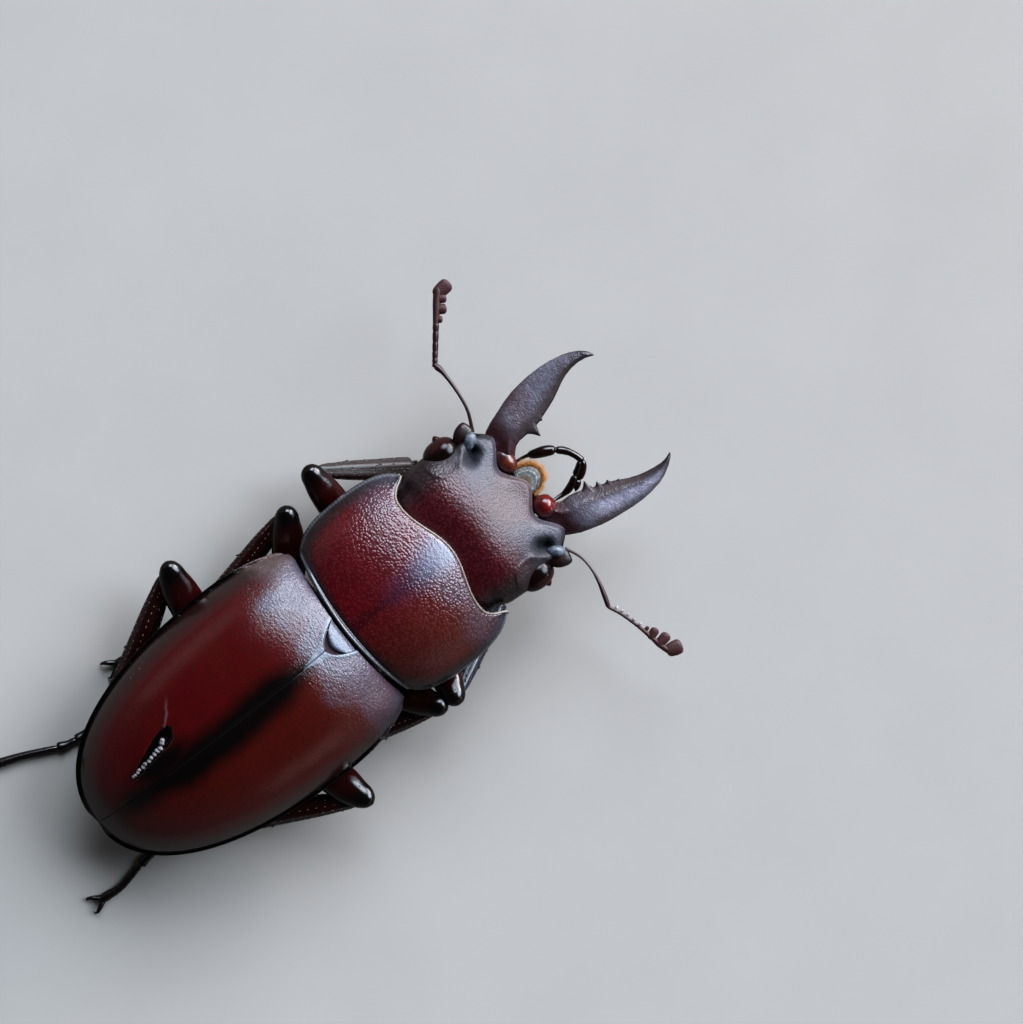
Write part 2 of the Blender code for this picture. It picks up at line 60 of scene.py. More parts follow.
# Driving dimensions, in millimetres.
GAP = 0.08                  # between neighbouring plates
SHELL = 0.55                # thickness of a plate
CASE_LENGTH = 15.2
CASE_HALF = 5.49
CASE_WIDEST = 11.0
CASE_HIGHEST = 9.0
CASE_RISE = 3.5
CASE_RIM = (3.35, 3.85)     # height of the rim at the hind tip and at the base
CASE_SHOULDER = 5.2         # from the widest place forward to where the sides would close
CASE_TAIL = (2.3, 2.3)      # roundness of the outline behind its widest place
CASE_FRONT = (2.0, 5.4)     # and before it
CASE_BOW = (2.3, 2.0)       # roundness of the dome from side to side
CASE_DROP = (2.4, 1.8)      # and down to the hind tip
FLANGE = 0.2                # flat rim round the dome of a wing case
SHIELD_HALF = 5.03
SHIELD_WIDEST = 18.4
SHIELD_BACK = 15.05
SHIELD_AHEAD = 21.5
SHIELD_RIM = 3.95
SHIELD_RISE = 2.6
SHIELD_BOW = (2.2, 1.9)     # roundness of the dome from side to side
SHIELD_SIDES_BACK = (2.5, 5.5)
SHIELD_SIDES_FRONT = (2.5, 7.0)
HEAD_BACK = 21.3
HEAD_LENGTH = 4.75
HEAD_FRONT = 25.73
HEAD_SCALLOP = (0.35, 2.75)  # depth and spacing of the waves along its front edge
HEAD_RIM = 3.95
EYE_AT = (3.62, 23.68, 3.85)
EYE_RADII = (0.72, 0.9, 0.85)
BELLY_DEPTH = 1.45
CHEST_DEPTH = 1.75
LIP_AT = (0.12, 25.98, 3.36)
LIP_REACH = (0.74, 0.88)


# ---------------- small maths

def bow(t, power, root):
    """Superellipse: 1 at t = 0, falling to 0 at t = 1."""
    return max(0.0, 1.0 - abs(t) ** power) ** (1.0 / root)


def arch(out, half, rise, power, root):
    """Height of a dome over its rim, at a distance out from the middle of its width."""
    return rise * bow(min(abs(out) / half, 1.0), power, root)


def unit(t):
    return min(max(t, 0.0), 1.0)


def mix(a, b, t):
    return a + (b - a) * t


def mound(distance, width):
    """Smooth bump: 1 at the middle, about a third at one width."""
    return exp(-(distance / width) ** 2)


def bumps(rows, out, ahead):
    """Round rises and dips: height, width, middle, and how far it is squeezed either way."""
    return sum(high * mound(hypot((out - at_out) * across, (ahead - at) * along), wide)
               for high, wide, at_out, at, across, along in rows)


def ease(value, low, high):
    t = unit((value - low) / (high - low))
    return t * t * (3 - 2 * t)


def place(side, out, ahead, up):
    return Vector((side * out, -ahead, up))


def spline(rows, t):
    """Smooth curve through rows of numbers, t from 0 to 1, ends included."""
    spans = len(rows) - 1
    i = min(int(t * spans), spans - 1)
    s = t * spans - i
    before = rows[max(i - 1, 0)]
    after = rows[min(i + 2, spans)]
    smooth = []
    for p, a, b, q in zip(before, rows[i], rows[i + 1], after):
        m, n = (b - p) / 2, (q - a) / 2
        smooth.append((2 * s**3 - 3 * s**2 + 1) * a + (s**3 - 2 * s**2 + s) * m
                      + (3 * s**2 - 2 * s**3) * b + (s**3 - s**2) * n)
    return smooth


def between(start, end, t):
    return [mix(a, b, t) for a, b in zip(start, end)]


def off_segment(x, y, start, end):
    """Distance of (x, y) from a straight stretch in plan."""
    run = Vector((end[0] - start[0], end[1] - start[1]))
    arm = Vector((x - start[0], y - start[1]))
    t = unit(arm.dot(run) / run.length_squared)
    return (arm - run * t).length


class Outline:
    """Plan outline of a plate, asked for the distance to its nearest point."""

    def __init__(self, points):
        self.tree = kdtree.KDTree(len(points))
        for i, (x, y) in enumerate(points):
            self.tree.insert((x, y, 0.0), i)
        self.tree.balance()

    def off(self, x, y):
        return self.tree.find((x, y, 0.0))[2]


# ---------------- mesh helpers

def stand(name, data):
    """An object in the scene that holds the data given."""
    made = bpy.data.objects.new(name, data)
    bpy.context.scene.collection.objects.link(made)
    return made


def finish(bm, name, look, slot, *nodes):
    """Turn a bmesh in millimetres into a piece of the model, in metres, in the frame."""
    bmesh.ops.translate(bm, vec=(MIDLINE, TAIL, 0.0), verts=bm.verts)
    bmesh.ops.scale(bm, vec=(MM, MM, MM), verts=bm.verts)
    bmesh.ops.recalc_face_normals(bm, faces=bm.faces)
    if bm.calc_volume(signed=True) < 0:
        bmesh.ops.reverse_faces(bm, faces=bm.faces)
    mesh = bpy.data.meshes.new(name)
    bm.to_mesh(mesh)
    bm.free()
    mesh.shade_smooth()
    mesh.materials.append(LOOK[look])
    piece = stand(name, mesh)
    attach(piece, "root")
    if nodes:
        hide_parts(*nodes)


def slab(across, along, top, bottom, marks):
    """Closed plate: a grid and its extruded copy, each laid on its own surface.

    top turns (a, b), both 0 to 1, into a point and its marks, and bottom into a point.
    """
    bm = bmesh.new()
    layers = {name: bm.verts.layers.float.new(name) for name in marks}
    bmesh.ops.create_grid(bm, x_segments=across, y_segments=along, size=1.0)
    upper = list(bm.verts)
    result = bmesh.ops.extrude_face_region(bm, geom=bm.faces[:])
    lower = [g for g in result["geom"] if isinstance(g, bmesh.types.BMVert)]
    for v in lower:
        v.co = bottom((v.co.x + 1) / 2, (v.co.y + 1) / 2)
    for v in upper:
        v.co, values = top((v.co.x + 1) / 2, (v.co.y + 1) / 2)
        for name in marks:
            v[layers[name]] = values.get(name, 0.0)
    return bm


def loft(rings, bm=None):
    """Closed skin: a disc extruded from ring to ring; "along" runs from 0 to 1."""
    bm = bm or bmesh.new()
    along = bm.verts.layers.float.get("along") or bm.verts.layers.float.new("along")
    made = bmesh.ops.create_circle(bm, cap_ends=True, radius=1.0, segments=len(rings[0]))
    cap = made["verts"][0].link_faces[0]
    first = list(cap.edges)
    for v, point in zip(cap.verts, rings[0]):
        v.co = point
    for i, ring in enumerate(rings[1:], 1):
        cap = bmesh.ops.extrude_discrete_faces(bm, faces=[cap])["faces"][0]
        for v, point in zip(cap.verts, ring):
            v.co = point
            v[along] = i / (len(rings) - 1)
    bmesh.ops.holes_fill(bm, edges=[e for e in first if e.is_valid and e.is_boundary])
    return bm


def hoops(side, stations, rings, sides, shape=None, lowest=None):
    """Rings along stations of (out, ahead, up, half width, half height).

    shape turns (t, angle) into a factor on the radius there.
    """
    made = []
    nudge = 0.02            # how far along on each side the direction is taken
    for i in range(rings):
        t = i / (rings - 1)
        out, ahead, up, wide, high = spline(stations, t)
        middle = place(side, out, ahead, up)
        back = place(side, *spline(stations, max(t - nudge, 0.0))[:3])
        front = place(side, *spline(stations, min(t + nudge, 1.0))[:3])
        line = (front - back).normalized()
        level = line.cross(Vector((0, 0, 1))).normalized()
        rise = level.cross(line)
        hoop = []
        for k in range(sides):
            angle = 2 * pi * (k + 0.5) / sides
            size = shape(t, angle) if shape else 1.0
            point = middle + (level * wide * cos(angle) + rise * high * sin(angle)) * size
            if lowest is not None:
                point.z = max(point.z, lowest)
            hoop.append(point)
        made.append(hoop)
    return made


def limb(side, stations, rings, sides, shape=None, lowest=None, bm=None):
    return loft(hoops(side, stations, rings, sides, shape, lowest), bm)


def thorn(bm, side, root, tip, wide):
    """Spine: an eight-sided cone extruded in three lengths from its root."""
    rows = [(*between(root, tip, t), wide * size, wide * size)
            for t, size in ((0.0, 1.0), (0.35, 0.8), (0.7, 0.45), (1.0, 0.06))]
    limb(side, rows, len(rows), 8, bm=bm)


def hair(bm, side, root, tip, wide):
    """One bristle: a slim three-sided cone."""
    root, tip = place(side, *root), place(side, *tip)
    run = tip - root
    turn = run.to_track_quat("Z", "Y").to_matrix().to_4x4()
    spot = Matrix.Translation((root + tip) / 2) @ turn
    bmesh.ops.create_cone(bm, cap_ends=True, segments=3, radius1=wide, radius2=wide * 0.1,
                          depth=run.length, matrix=spot)


def ball(bm, middle, radii, around, up_down):
    made = bmesh.ops.create_uvsphere(bm, u_segments=around, v_segments=up_down, radius=1.0)["verts"]
    bmesh.ops.scale(bm, vec=radii, verts=made)
    bmesh.ops.translate(bm, vec=middle, verts=made)
    return made


# ---------------- wiring of materials

class Wiring:
    """Adds nodes to a tree; each call gives back the new node's output."""

    def __init__(self, tree, place=None):
        self.tree = tree
        self.place = place

    def join(self, value, socket):
        if isinstance(value, bpy.types.NodeSocket):
            self.tree.links.new(value, socket)
        elif socket.type == "RGBA":
            socket.default_value = (*value, 1.0)
        else:
            socket.default_value = value

    def node(self, kind, inputs=None, output=0, **settings):
        made = self.tree.nodes.new("ShaderNode" + kind)
        for name, value in settings.items():
            setattr(made, name, value)
        for name, value in (inputs or {}).items():
            self.join(value, made.inputs[name])
        return made.outputs[output]

    def calc(self, operation, *values):
        return self.node("Math", dict(enumerate(values)), operation=operation)

    def times(self, first, *others):
        for value in others:
            first = self.calc("MULTIPLY", first, value)
        return first

    def plus(self, first, second):
        return self.calc("ADD", first, second)

    def less(self, first, second):
        return self.calc("SUBTRACT", first, second)

    def fade(self, value, low, high, to_low=0.0, to_high=1.0):
        """Smooth step from to_low at low to to_high at high."""
        return self.node("MapRange", {"Value": value, "From Min": low, "From Max": high,
                                      "To Min": to_low, "To Max": to_high},
                         interpolation_type="SMOOTHSTEP")

    def tint(self, mask, first, second):
        return self.node("Mix", {0: mask, 6: first, 7: second}, output=2, data_type="RGBA")

    def cloud(self, size, detail=3.0, where=None, rough=0.5):
        return self.node("TexNoise", {"Vector": where or self.place, "Scale": 1.0 / size,
                                      "Detail": detail, "Roughness": rough})

    def stretch(self, *factors):
        return self.node("VectorMath", {0: self.place, 1: factors}, operation="MULTIPLY")


def effect_group(name, inputs, outputs):
    """Empty node group; gives its wiring, its inputs and the inputs of its output node."""
    tree = bpy.data.node_groups.new(name, "ShaderNodeTree")
    tree.interface.new_socket(name="Place", in_out="INPUT", socket_type="NodeSocketVector")
    for label, value in inputs.items():
        socket = tree.interface.new_socket(name=label, in_out="INPUT", socket_type="NodeSocketFloat")
        socket.default_value = value
    for label in outputs:
        tree.interface.new_socket(name=label, in_out="OUTPUT", socket_type="NodeSocketFloat")
    given = tree.nodes.new("NodeGroupInput").outputs
    return Wiring(tree, given["Place"]), given, tree.nodes.new("NodeGroupOutput").inputs


def make_granules():
    """Rows of rounded grains, each a low dome: its height, and a mask of its crown."""
    w, given, gives = effect_group("granules", {"Spacing": 0.14, "Unevenness": 0.8}, ("Height", "Crown"))
    off = w.node("TexVoronoi", {"Vector": w.place, "Scale": w.calc("DIVIDE", 1.0, given["Spacing"]),
                                "Randomness": given["Unevenness"]})
    w.join(w.calc("MAXIMUM", w.less(1.0, w.times(off, off, 2.4)), 0.0), gives["Height"])
    w.join(w.fade(off, 0.42, 0.12), gives["Crown"])
    return w.tree


def make_wrinkles():
    """Fine wavy creases across the body."""
    w, given, gives = effect_group("wrinkles", {"Spacing": 0.12}, ("Height",))
    creases = w.cloud(1.0, 2.0, w.stretch(0.5, 1.0, 1.0), 0.6)
    w.join(w.calc("DIVIDE", 1.0, given["Spacing"]), creases.node.inputs["Scale"])
    sharp = w.calc("ABSOLUTE", w.less(creases, 0.5))
    w.join(w.less(1.0, w.times(sharp, 4.0)), gives["Height"])
    return w.tree


def make_pits():
    """Scattered small round pits: their height, and a mask of their floors."""
    w, given, gives = effect_group("pits", {"Spacing": 0.3, "Width": 0.25}, ("Height", "Floor"))
    off = w.node("TexVoronoi", {"Vector": w.place, "Scale": w.calc("DIVIDE", 1.0, given["Spacing"])})
    floor = w.fade(off, given["Width"], 0.0)
    w.join(w.less(1.0, floor), gives["Height"])
    w.join(floor, gives["Floor"])
    return w.tree


def make_blotches():
    """Broad uneven patches and a fine mottle, for colour that isn't flat."""
    w, _, gives = effect_group("blotches", {}, ("Broad", "Fine"))
    w.join(w.fade(w.cloud(2.2), 0.32, 0.68), gives["Broad"])
    w.join(w.fade(w.cloud(0.22, 4.0), 0.3, 0.7), gives["Fine"])
    return w.tree


GRANULES = make_granules()
WRINKLES = make_wrinkles()
PITS = make_pits()
BLOTCHES = make_blotches()


class Finish(Wiring):
    """A material round one Principled BSDF, with places in millimetres on the body."""

    def __init__(self, name, roughness, **settings):
        self.material = bpy.data.materials.new(name)
        self.material.use_nodes = True
        super().__init__(self.material.node_tree)
        self.skin = self.tree.nodes["Principled BSDF"]
        for label, value in {"Roughness": roughness, "IOR": 1.55, **settings}.items():
            self.skin.inputs[label.replace("_", " ")].default_value = value
        coords = self.node("TexCoord", output=3)
        self.place = self.node("Mapping", {"Vector": coords, "Location": (-MIDLINE, TAIL, 0.0),
                                           "Scale": (1 / MM, -1 / MM, 1 / MM)})
        self.left, self.ahead, _ = self.node("SeparateXYZ", {0: self.place}).node.outputs
        self.out = self.calc("ABSOLUTE", self.left)

    def mark(self, name):
        """A number stored on the mesh, such as the distance from the rim."""
        return self.node("Attribute", output=2, attribute_name=name)

    def effect(self, group, output, **inputs):
        made = self.tree.nodes.new("ShaderNodeGroup")
        made.node_tree = group
        for name, value in {"Place": self.place, **inputs}.items():
            self.join(value, made.inputs[name])
        return made.outputs[output]

    def broad(self):
        return self.effect(BLOTCHES, "Broad")

    def fine(self):
        return self.effect(BLOTCHES, "Fine")

    def creases(self, spacing):
        return self.effect(WRINKLES, "Height", Spacing=spacing)

    def pits(self, spacing, width, output="Height"):
        return self.effect(PITS, output, Spacing=spacing, Width=width)

    def grains(self, spacing, unevenness, output="Height", **where):
        return self.effect(GRANULES, output, Spacing=spacing, Unevenness=unevenness, **where)

    def off(self, left, ahead, squash):
        """Distance in plan from a spot, with lengths along the body shortened."""
        return self.node("VectorMath", {0: self.stretch(1.0, squash, 0.0), 1: (left, ahead * squash, 0.0)},
                         output=1, operation="DISTANCE")

    def paint(self, colour, *coats):
        """A colour under coats of (mask, colour), the last one on top."""
        for mask, coat in coats:
            colour = self.tint(mask, colour, coat)
        self.join(colour, self.skin.inputs["Base Color"])

    def rough(self, value):
        self.join(value, self.skin.inputs["Roughness"])

    def relief(self, *layers):
        """Heights with their real depth in millimetres, summed into one bump; gives the material."""
        steps = [self.times(height, depth) for height, depth in layers]
        total = steps[0]
        for step in steps[1:]:
            total = self.plus(total, step)
        self.join(self.node("Bump", {"Height": total, "Distance": MM}), self.skin.inputs["Normal"])
        return self.material


# Colours, as linear light.
RED = (0.062, 0.0024, 0.0034)
RED_BROWN = (0.06, 0.0062, 0.0042)
UMBER = (0.027, 0.01, 0.009)
PITCH = (0.003, 0.0016, 0.0016)
WINE = (0.03, 0.0022, 0.0045)
# Pale blue of the sky, a painted sheen laid into the colour of slopes that face it.
SKY_SHEEN = (0.085, 0.09, 0.125)
GLOSSY = 1.62               # refractive index of the polished shells


def wing_case_finish():
    m = Finish("wing_case_shell", 0.22, IOR=GLOSSY)
    rim, pale, broad, fine = m.mark("rim"), m.mark("pale"), m.broad(), m.fine()
    # The black band along the seam is widest behind the middle; it is partly the shell's own dark colour and
    # partly a painted dark reflection.
    drift = m.times(m.fade(m.ahead, 10.8, 7.2, 0.02, 0.26), m.fade(m.ahead, 2.0, 6.0, 0.3, 1.0))
    half = m.times(m.fade(m.ahead, 13.2, 10.8, 0.1, 0.7), m.fade(m.ahead, 1.6, 6.0, 0.45, 1.0))
    wander = m.times(m.less(m.cloud(1.4), 0.5), 0.5)
    band = m.less(m.calc("ABSOLUTE", m.plus(m.left, drift)), m.plus(half, wander))
    seam_band_and_dark_reflection = m.times(m.fade(band, 0.72, -0.36), m.fade(m.ahead, 0.3, 2.4))
    # It spreads round the inner side of the old wound.
    seam_band_and_dark_reflection = m.calc("MAXIMUM", seam_band_and_dark_reflection, m.fade(m.off(0.58, 4.611, 0.36), 1.0, 0.24))
    # Painted sheen: the front slope of the wing cases is painted with a pale blue reflection of the sky,
    # stronger on the left, and a pinkish painted highlight on the left shoulder.
    front = m.fade(m.plus(m.ahead, m.times(broad, 1.2)), 13.1, 14.4)
    painted_sheen = m.tint(m.fade(m.left, 3.4, 4.8), SKY_SHEEN, (0.15, 0.105, 0.098))
    row = m.times(m.fade(rim, 0.62, 0.56), m.fade(rim, 0.44, 0.5), m.fade(m.ahead, 4.4, 5.2),
                  m.fade(m.ahead, 9.0, 8.0), m.fade(m.left, 1.0, 2.0), m.pits(0.24, 0.22, "Floor"))
    m.paint(RED_BROWN,
            (m.fade(m.left, -1.4, 1.4), RED),
            (m.times(broad, 0.35), RED_BROWN),
            (m.fade(rim, 1.25, 0.35), UMBER),
            (m.fade(m.ahead, 1.9, 0.5), UMBER),
            (seam_band_and_dark_reflection, PITCH),
            (m.times(m.fade(rim, 0.3, 0.12), m.fade(m.ahead, 14.2, 12.0)), PITCH),
            (m.times(front, m.fade(m.left, -5.5, 0.5, 0.25, 0.7)), painted_sheen),
            (row, (0.3, 0.2, 0.17)),
            # Painted reflection: the raised stripe by the scutellum is painted pale blue for the sky it
            # mirrors.
            (pale, (0.18, 0.205, 0.245)),
            (m.mark("scar"), (0.0016, 0.0014, 0.0018)),
            (m.mark("crack"), (0.11, 0.055, 0.055)),
            (m.times(fine, 0.22), PITCH))
    m.rough(m.plus(m.fade(m.ahead, 10.5, 13.5, 0.18, 0.27), m.times(fine, 0.04)))
    cells = m.grains(0.115, 1.0, Place=m.stretch(0.62, 1.0, 1.0))
    lively = m.times(m.fade(m.ahead, 11.2, 13.4, 0.14, 1.0), m.less(1.0, m.times(pale, 0.6)),
                     m.fade(m.out, 3.2, 4.8, 1.0, 1.5))
    return m.relief((m.times(m.creases(0.1), lively), 0.011), (m.times(cells, lively), 0.009),
                    (m.pits(0.24, 0.16), 0.003), (m.cloud(0.05, 2.0), 0.002))


def scutellum_finish():
    m = Finish("scutellum_shell", 0.28, IOR=GLOSSY)
    groove = m.mark("groove")
    # The plate is painted pale grey and its tongue pale blue, a painted reflection of the sky; the crescent
    # groove is painted near-black as shade.
    m.paint((0.15, 0.13, 0.135),
            (m.mark("tongue"), (0.082, 0.098, 0.14)),
            (m.fade(m.ahead, 14.8, 14.96), (0.05, 0.035, 0.035)),
            (m.fade(groove, 0.05, 0.6), (0.01, 0.0016, 0.006)),
            (m.times(m.fine(), 0.25), WINE))
    m.rough(m.fade(groove, 0.1, 0.6, 0.3, 0.95))
    return m.relief((m.cloud(0.1), 0.014), (m.creases(0.12), 0.007))


def neck_shield_finish():
    m = Finish("neck_shield_shell", 0.26, IOR=GLOSSY)
    rim, broad, grain = m.mark("rim"), m.broad(), m.grains(0.138, 0.95)
    # A smooth patch in the middle of the front, painted pale blue as a reflection of the sky, and a violet
    # painted sheen behind it.
    sheen_patch = m.fade(m.off(0.18, 20.714, 0.7), 1.45, 0.25)
    m.paint((0.072, 0.012, 0.0085),
            (m.fade(m.left, -3.0, 1.0), (0.092, 0.0034, 0.0065)),
            (m.times(broad, 0.35), WINE),
            (m.fade(rim, 0.85, 0.2), (0.013, 0.0075, 0.0085)),
            (m.fade(m.out, 0.5, 0.0, 0.0, 0.6), WINE),
            # Painted sheen of the sky over the front of the shield.
            (m.times(m.fade(m.plus(m.ahead, broad), 19.2, 21.2), 0.3), SKY_SHEEN),
            # Lighter grain crowns are painted highlights, and darker gaps between grains are painted shade.
            (m.times(m.grains(0.138, 0.95, "Crown"), 0.24), (0.12, 0.046, 0.052)),
            (m.fade(grain, 0.4, 0.0, 0.0, 0.3), (0.014, 0.002, 0.003)),
            (m.fade(m.off(0.1, 18.833, 0.6), 1.25, 0.2, 0.0, 0.55), (0.04, 0.015, 0.036)),
            (m.times(sheen_patch, 0.6), (0.09, 0.115, 0.175)),
            # The beads are painted pale grey-blue as a reflection of the sky.
            (m.mark("bead"), (0.15, 0.16, 0.18)))
    keep = m.less(1.0, m.calc("MAXIMUM", m.times(sheen_patch, 0.8), m.mark("calm")))
    finer = m.times(m.fade(m.left, -3.5, 0.5, 0.65, 1.0), m.fade(m.ahead, 17.2, 20.0, 0.38, 1.0))
    return m.relief((m.times(grain, keep, finer), 0.018), (m.cloud(0.05, 2.0), 0.003),
                    (m.cloud(0.16, 2.0), 0.008))


def head_finish():
    m = Finish("head_shell", 0.3, IOR=GLOSSY)
    grain, hollow = m.grains(0.14, 0.95), m.mark("hollow")
    where = m.plus(m.ahead, m.times(m.broad(), 0.8))
    rear = m.fade(where, 24.6, 22.9)
    # The front and sides are painted greyer and bluer than the red rear; this is partly the shell's own tone
    # and partly a painted sheen of the sky.
    m.paint((0.062, 0.032, 0.034),
            (m.fade(m.out, 0.4, 1.9), (0.042, 0.034, 0.05)),
            (rear, (0.062, 0.0028, 0.0065)),
            (m.fade(m.out, 2.2, 3.4), (0.02, 0.011, 0.0125)),
            # Lighter grain crowns are painted highlights, and darker gaps between grains are painted shade.
            (m.times(m.grains(0.14, 0.95, "Crown"), rear, 0.3), (0.12, 0.046, 0.06)),
            (m.times(m.fade(grain, 0.45, 0.0, 0.0, 0.4), rear), (0.012, 0.0018, 0.0034)),
            (m.mark("socket"), (0.03, 0.036, 0.05)),
            # The dimple and the cheek lobe are painted near-black as shade.
            (m.times(hollow, m.fade(m.cloud(0.09), 0.4, 0.58, 0.35, 1.0)), (0.003, 0.0034, 0.006)),
            (m.mark("lobe"), (0.007, 0.0025, 0.003)),
            (m.times(m.fine(), 0.2), PITCH))
    m.rough(m.plus(m.fade(m.ahead, 22.4, 23.8, 0.34, 0.48), m.times(hollow, 0.5)))
    depth = m.times(m.fade(where, 24.8, 22.8, 0.15, 1.0), m.fade(m.ahead, 21.4, 23.4, 0.45, 1.0))
    return m.relief((m.times(grain, depth), 0.014), (m.cloud(0.35, 2.0), 0.02),
                    (m.times(m.grains(0.085, 1.0), m.less(1.0, rear)), 0.008))


def jaw_finish():
    m = Finish("jaw_horn", 0.4, IOR=GLOSSY)
    fine, inner = m.fine(), m.mark("inner")
    # A painted highlight: a pale lavender streak along the middle of the right jaw.
    right_jaw_highlight = m.times(m.fade(inner, 0.1, 0.35), m.fade(inner, 0.75, 0.5), m.fade(m.ahead, 27.2, 28.2),
                     m.fade(m.left, -1.0, -2.0), 0.85)
    outer = m.times(m.fade(inner, 0.25, 0.0), m.fade(m.ahead, 29.6, 27.9), 0.6)
    # The inner face, turned down, is painted darker as shade.
    shaded_inner_face = m.times(m.fade(inner, 0.48, 0.86), m.fade(m.ahead, 27.6, 30.0, 0.6, 1.0))
    # The pale blue-purple ground is partly the jaw's own colour and partly a painted sheen of the sky.
    m.paint((0.142, 0.132, 0.168),
            (m.broad(), (0.108, 0.078, 0.09)),
            (right_jaw_highlight, (0.4, 0.385, 0.47)),
            (outer, (0.06, 0.024, 0.028)),
            (shaded_inner_face, (0.052, 0.036, 0.036)),
            (m.fade(inner, 0.93, 0.99), (0.014, 0.007, 0.008)),
            (m.fade(m.ahead, 27.3, 26.3), (0.036, 0.005, 0.0085)),
            (m.fade(m.ahead, 30.6, 32.0), (0.018, 0.014, 0.02)),
            (m.times(fine, 0.35), (0.03, 0.018, 0.022)))
    m.rough(m.plus(m.times(fine, 0.1), 0.32))
    return m.relief((m.cloud(0.12, 3.0, m.stretch(1.0, 0.4, 1.0)), 0.014), (m.pits(0.16, 0.2), 0.009),
                    (m.cloud(0.3, 2.0), 0.034), (m.grains(0.09, 1.0), 0.009), (m.cloud(0.09), 0.014))


def plain_finish(name, roughness, main, second, grain=0.05, depth=0.003):
    """Chitin of one tone mottled with another, over a fine grain."""
    m = Finish(name, roughness)
    fine = m.fine()
    m.paint(main, (fine, second))
    m.rough(m.plus(m.times(fine, 0.08), roughness - 0.04))
    return m.relief((m.cloud(grain), depth))


def pitted_finish(name, roughness, mask, first, second, pits, grain):
    """Pitted shell of two tones, parted by what mask gives, and mottled with black.

    pits is their spacing, width and depth; grain is its size and depth.
    """
    m = Finish(name, roughness)
    m.paint(first, (mask(m), second), (m.times(m.fine(), 0.4), PITCH))
    return m.relief((m.pits(*pits[:2]), pits[2]), (m.cloud(grain[0], 2.0), grain[1]))


def shin_finish(name, roughness, inner, outer):
    # Upper faces take the outer colour and faces underneath the inner one: a painted lighter top and painted
    # shade below.
    return pitted_finish(name, roughness, lambda m: m.mark("lit_upper_face"), inner, outer,
                         (0.22, 0.3, 0.03), (0.06, 0.005))


def eye_finish():
    m = Finish("eye_facets", 0.15, IOR=1.38)
    m.paint((0.0026, 0.0016, 0.0018),
            (m.broad(), (0.009, 0.0034, 0.003)),
            (m.fade(m.out, 3.75, 4.25), (0.03, 0.008, 0.008)))
    return m.relief((m.grains(0.034, 0.15), 0.001))


def club_finish():
    m = Finish("club_felt", 0.5, Sheen_Weight=0.04, Sheen_Roughness=0.4)
    m.paint((0.036, 0.004, 0.0048),
            (m.mark("along"), (0.07, 0.021, 0.024)),
            (m.times(m.fine(), 0.4), (0.03, 0.006, 0.0065)))
    return m.relief((m.grains(0.035, 1.0), 0.006))


def amber_finish():
    m = Finish("hinge_amber", 0.24, Coat_Weight=0.2, Coat_Roughness=0.08)
    m.paint((0.13, 0.004, 0.005),
            (m.fade(m.left, -0.6, 0.6), (0.12, 0.026, 0.012)),
            (m.fade(m.cloud(0.5, 2.0), 0.35, 0.65, 0.0, 0.8), (0.05, 0.009, 0.007)),
            (m.fade(m.out, 1.45, 1.85), (0.04, 0.012, 0.015)),
            (m.times(m.fine(), 0.3), (0.04, 0.005, 0.004)))
    return m.relief((m.cloud(0.2, 2.0), 0.006))


def lip_finish():
    m = Finish("lip_horn", 0.3)
    disc = m.mark("rim")
    ragged = m.plus(disc, m.times(m.less(m.cloud(0.16), 0.5), 0.35))
    turn = m.calc("ARCTAN2", m.less(m.ahead, 25.7), m.less(m.left, LIP_AT[0]))
    fan = m.node("CombineXYZ", {0: m.times(turn, 2.6), 1: m.times(disc, 0.25)})
    streaks = m.fade(m.cloud(0.16, 3.0, fan), 0.35, 0.65)
    middle = m.tint(streaks, (0.09, 0.105, 0.105), (0.2, 0.22, 0.215))
    m.paint((0.075, 0.052, 0.035),
            (streaks, (0.15, 0.125, 0.085)),
            (m.fade(ragged, 0.42, 0.62), middle),
            (m.fade(ragged, 0.74, 0.9), (0.06, 0.046, 0.034)),
            (m.times(m.fine(), 0.3), (0.05, 0.03, 0.018)))
    return m.relief((m.cloud(0.08, 2.0), 0.01), (streaks, 0.018))


def bristle_finish(name, root, tip):
    m = Finish(name, 0.5)
    m.paint(root, (m.cloud(0.3), tip))
    return m.material


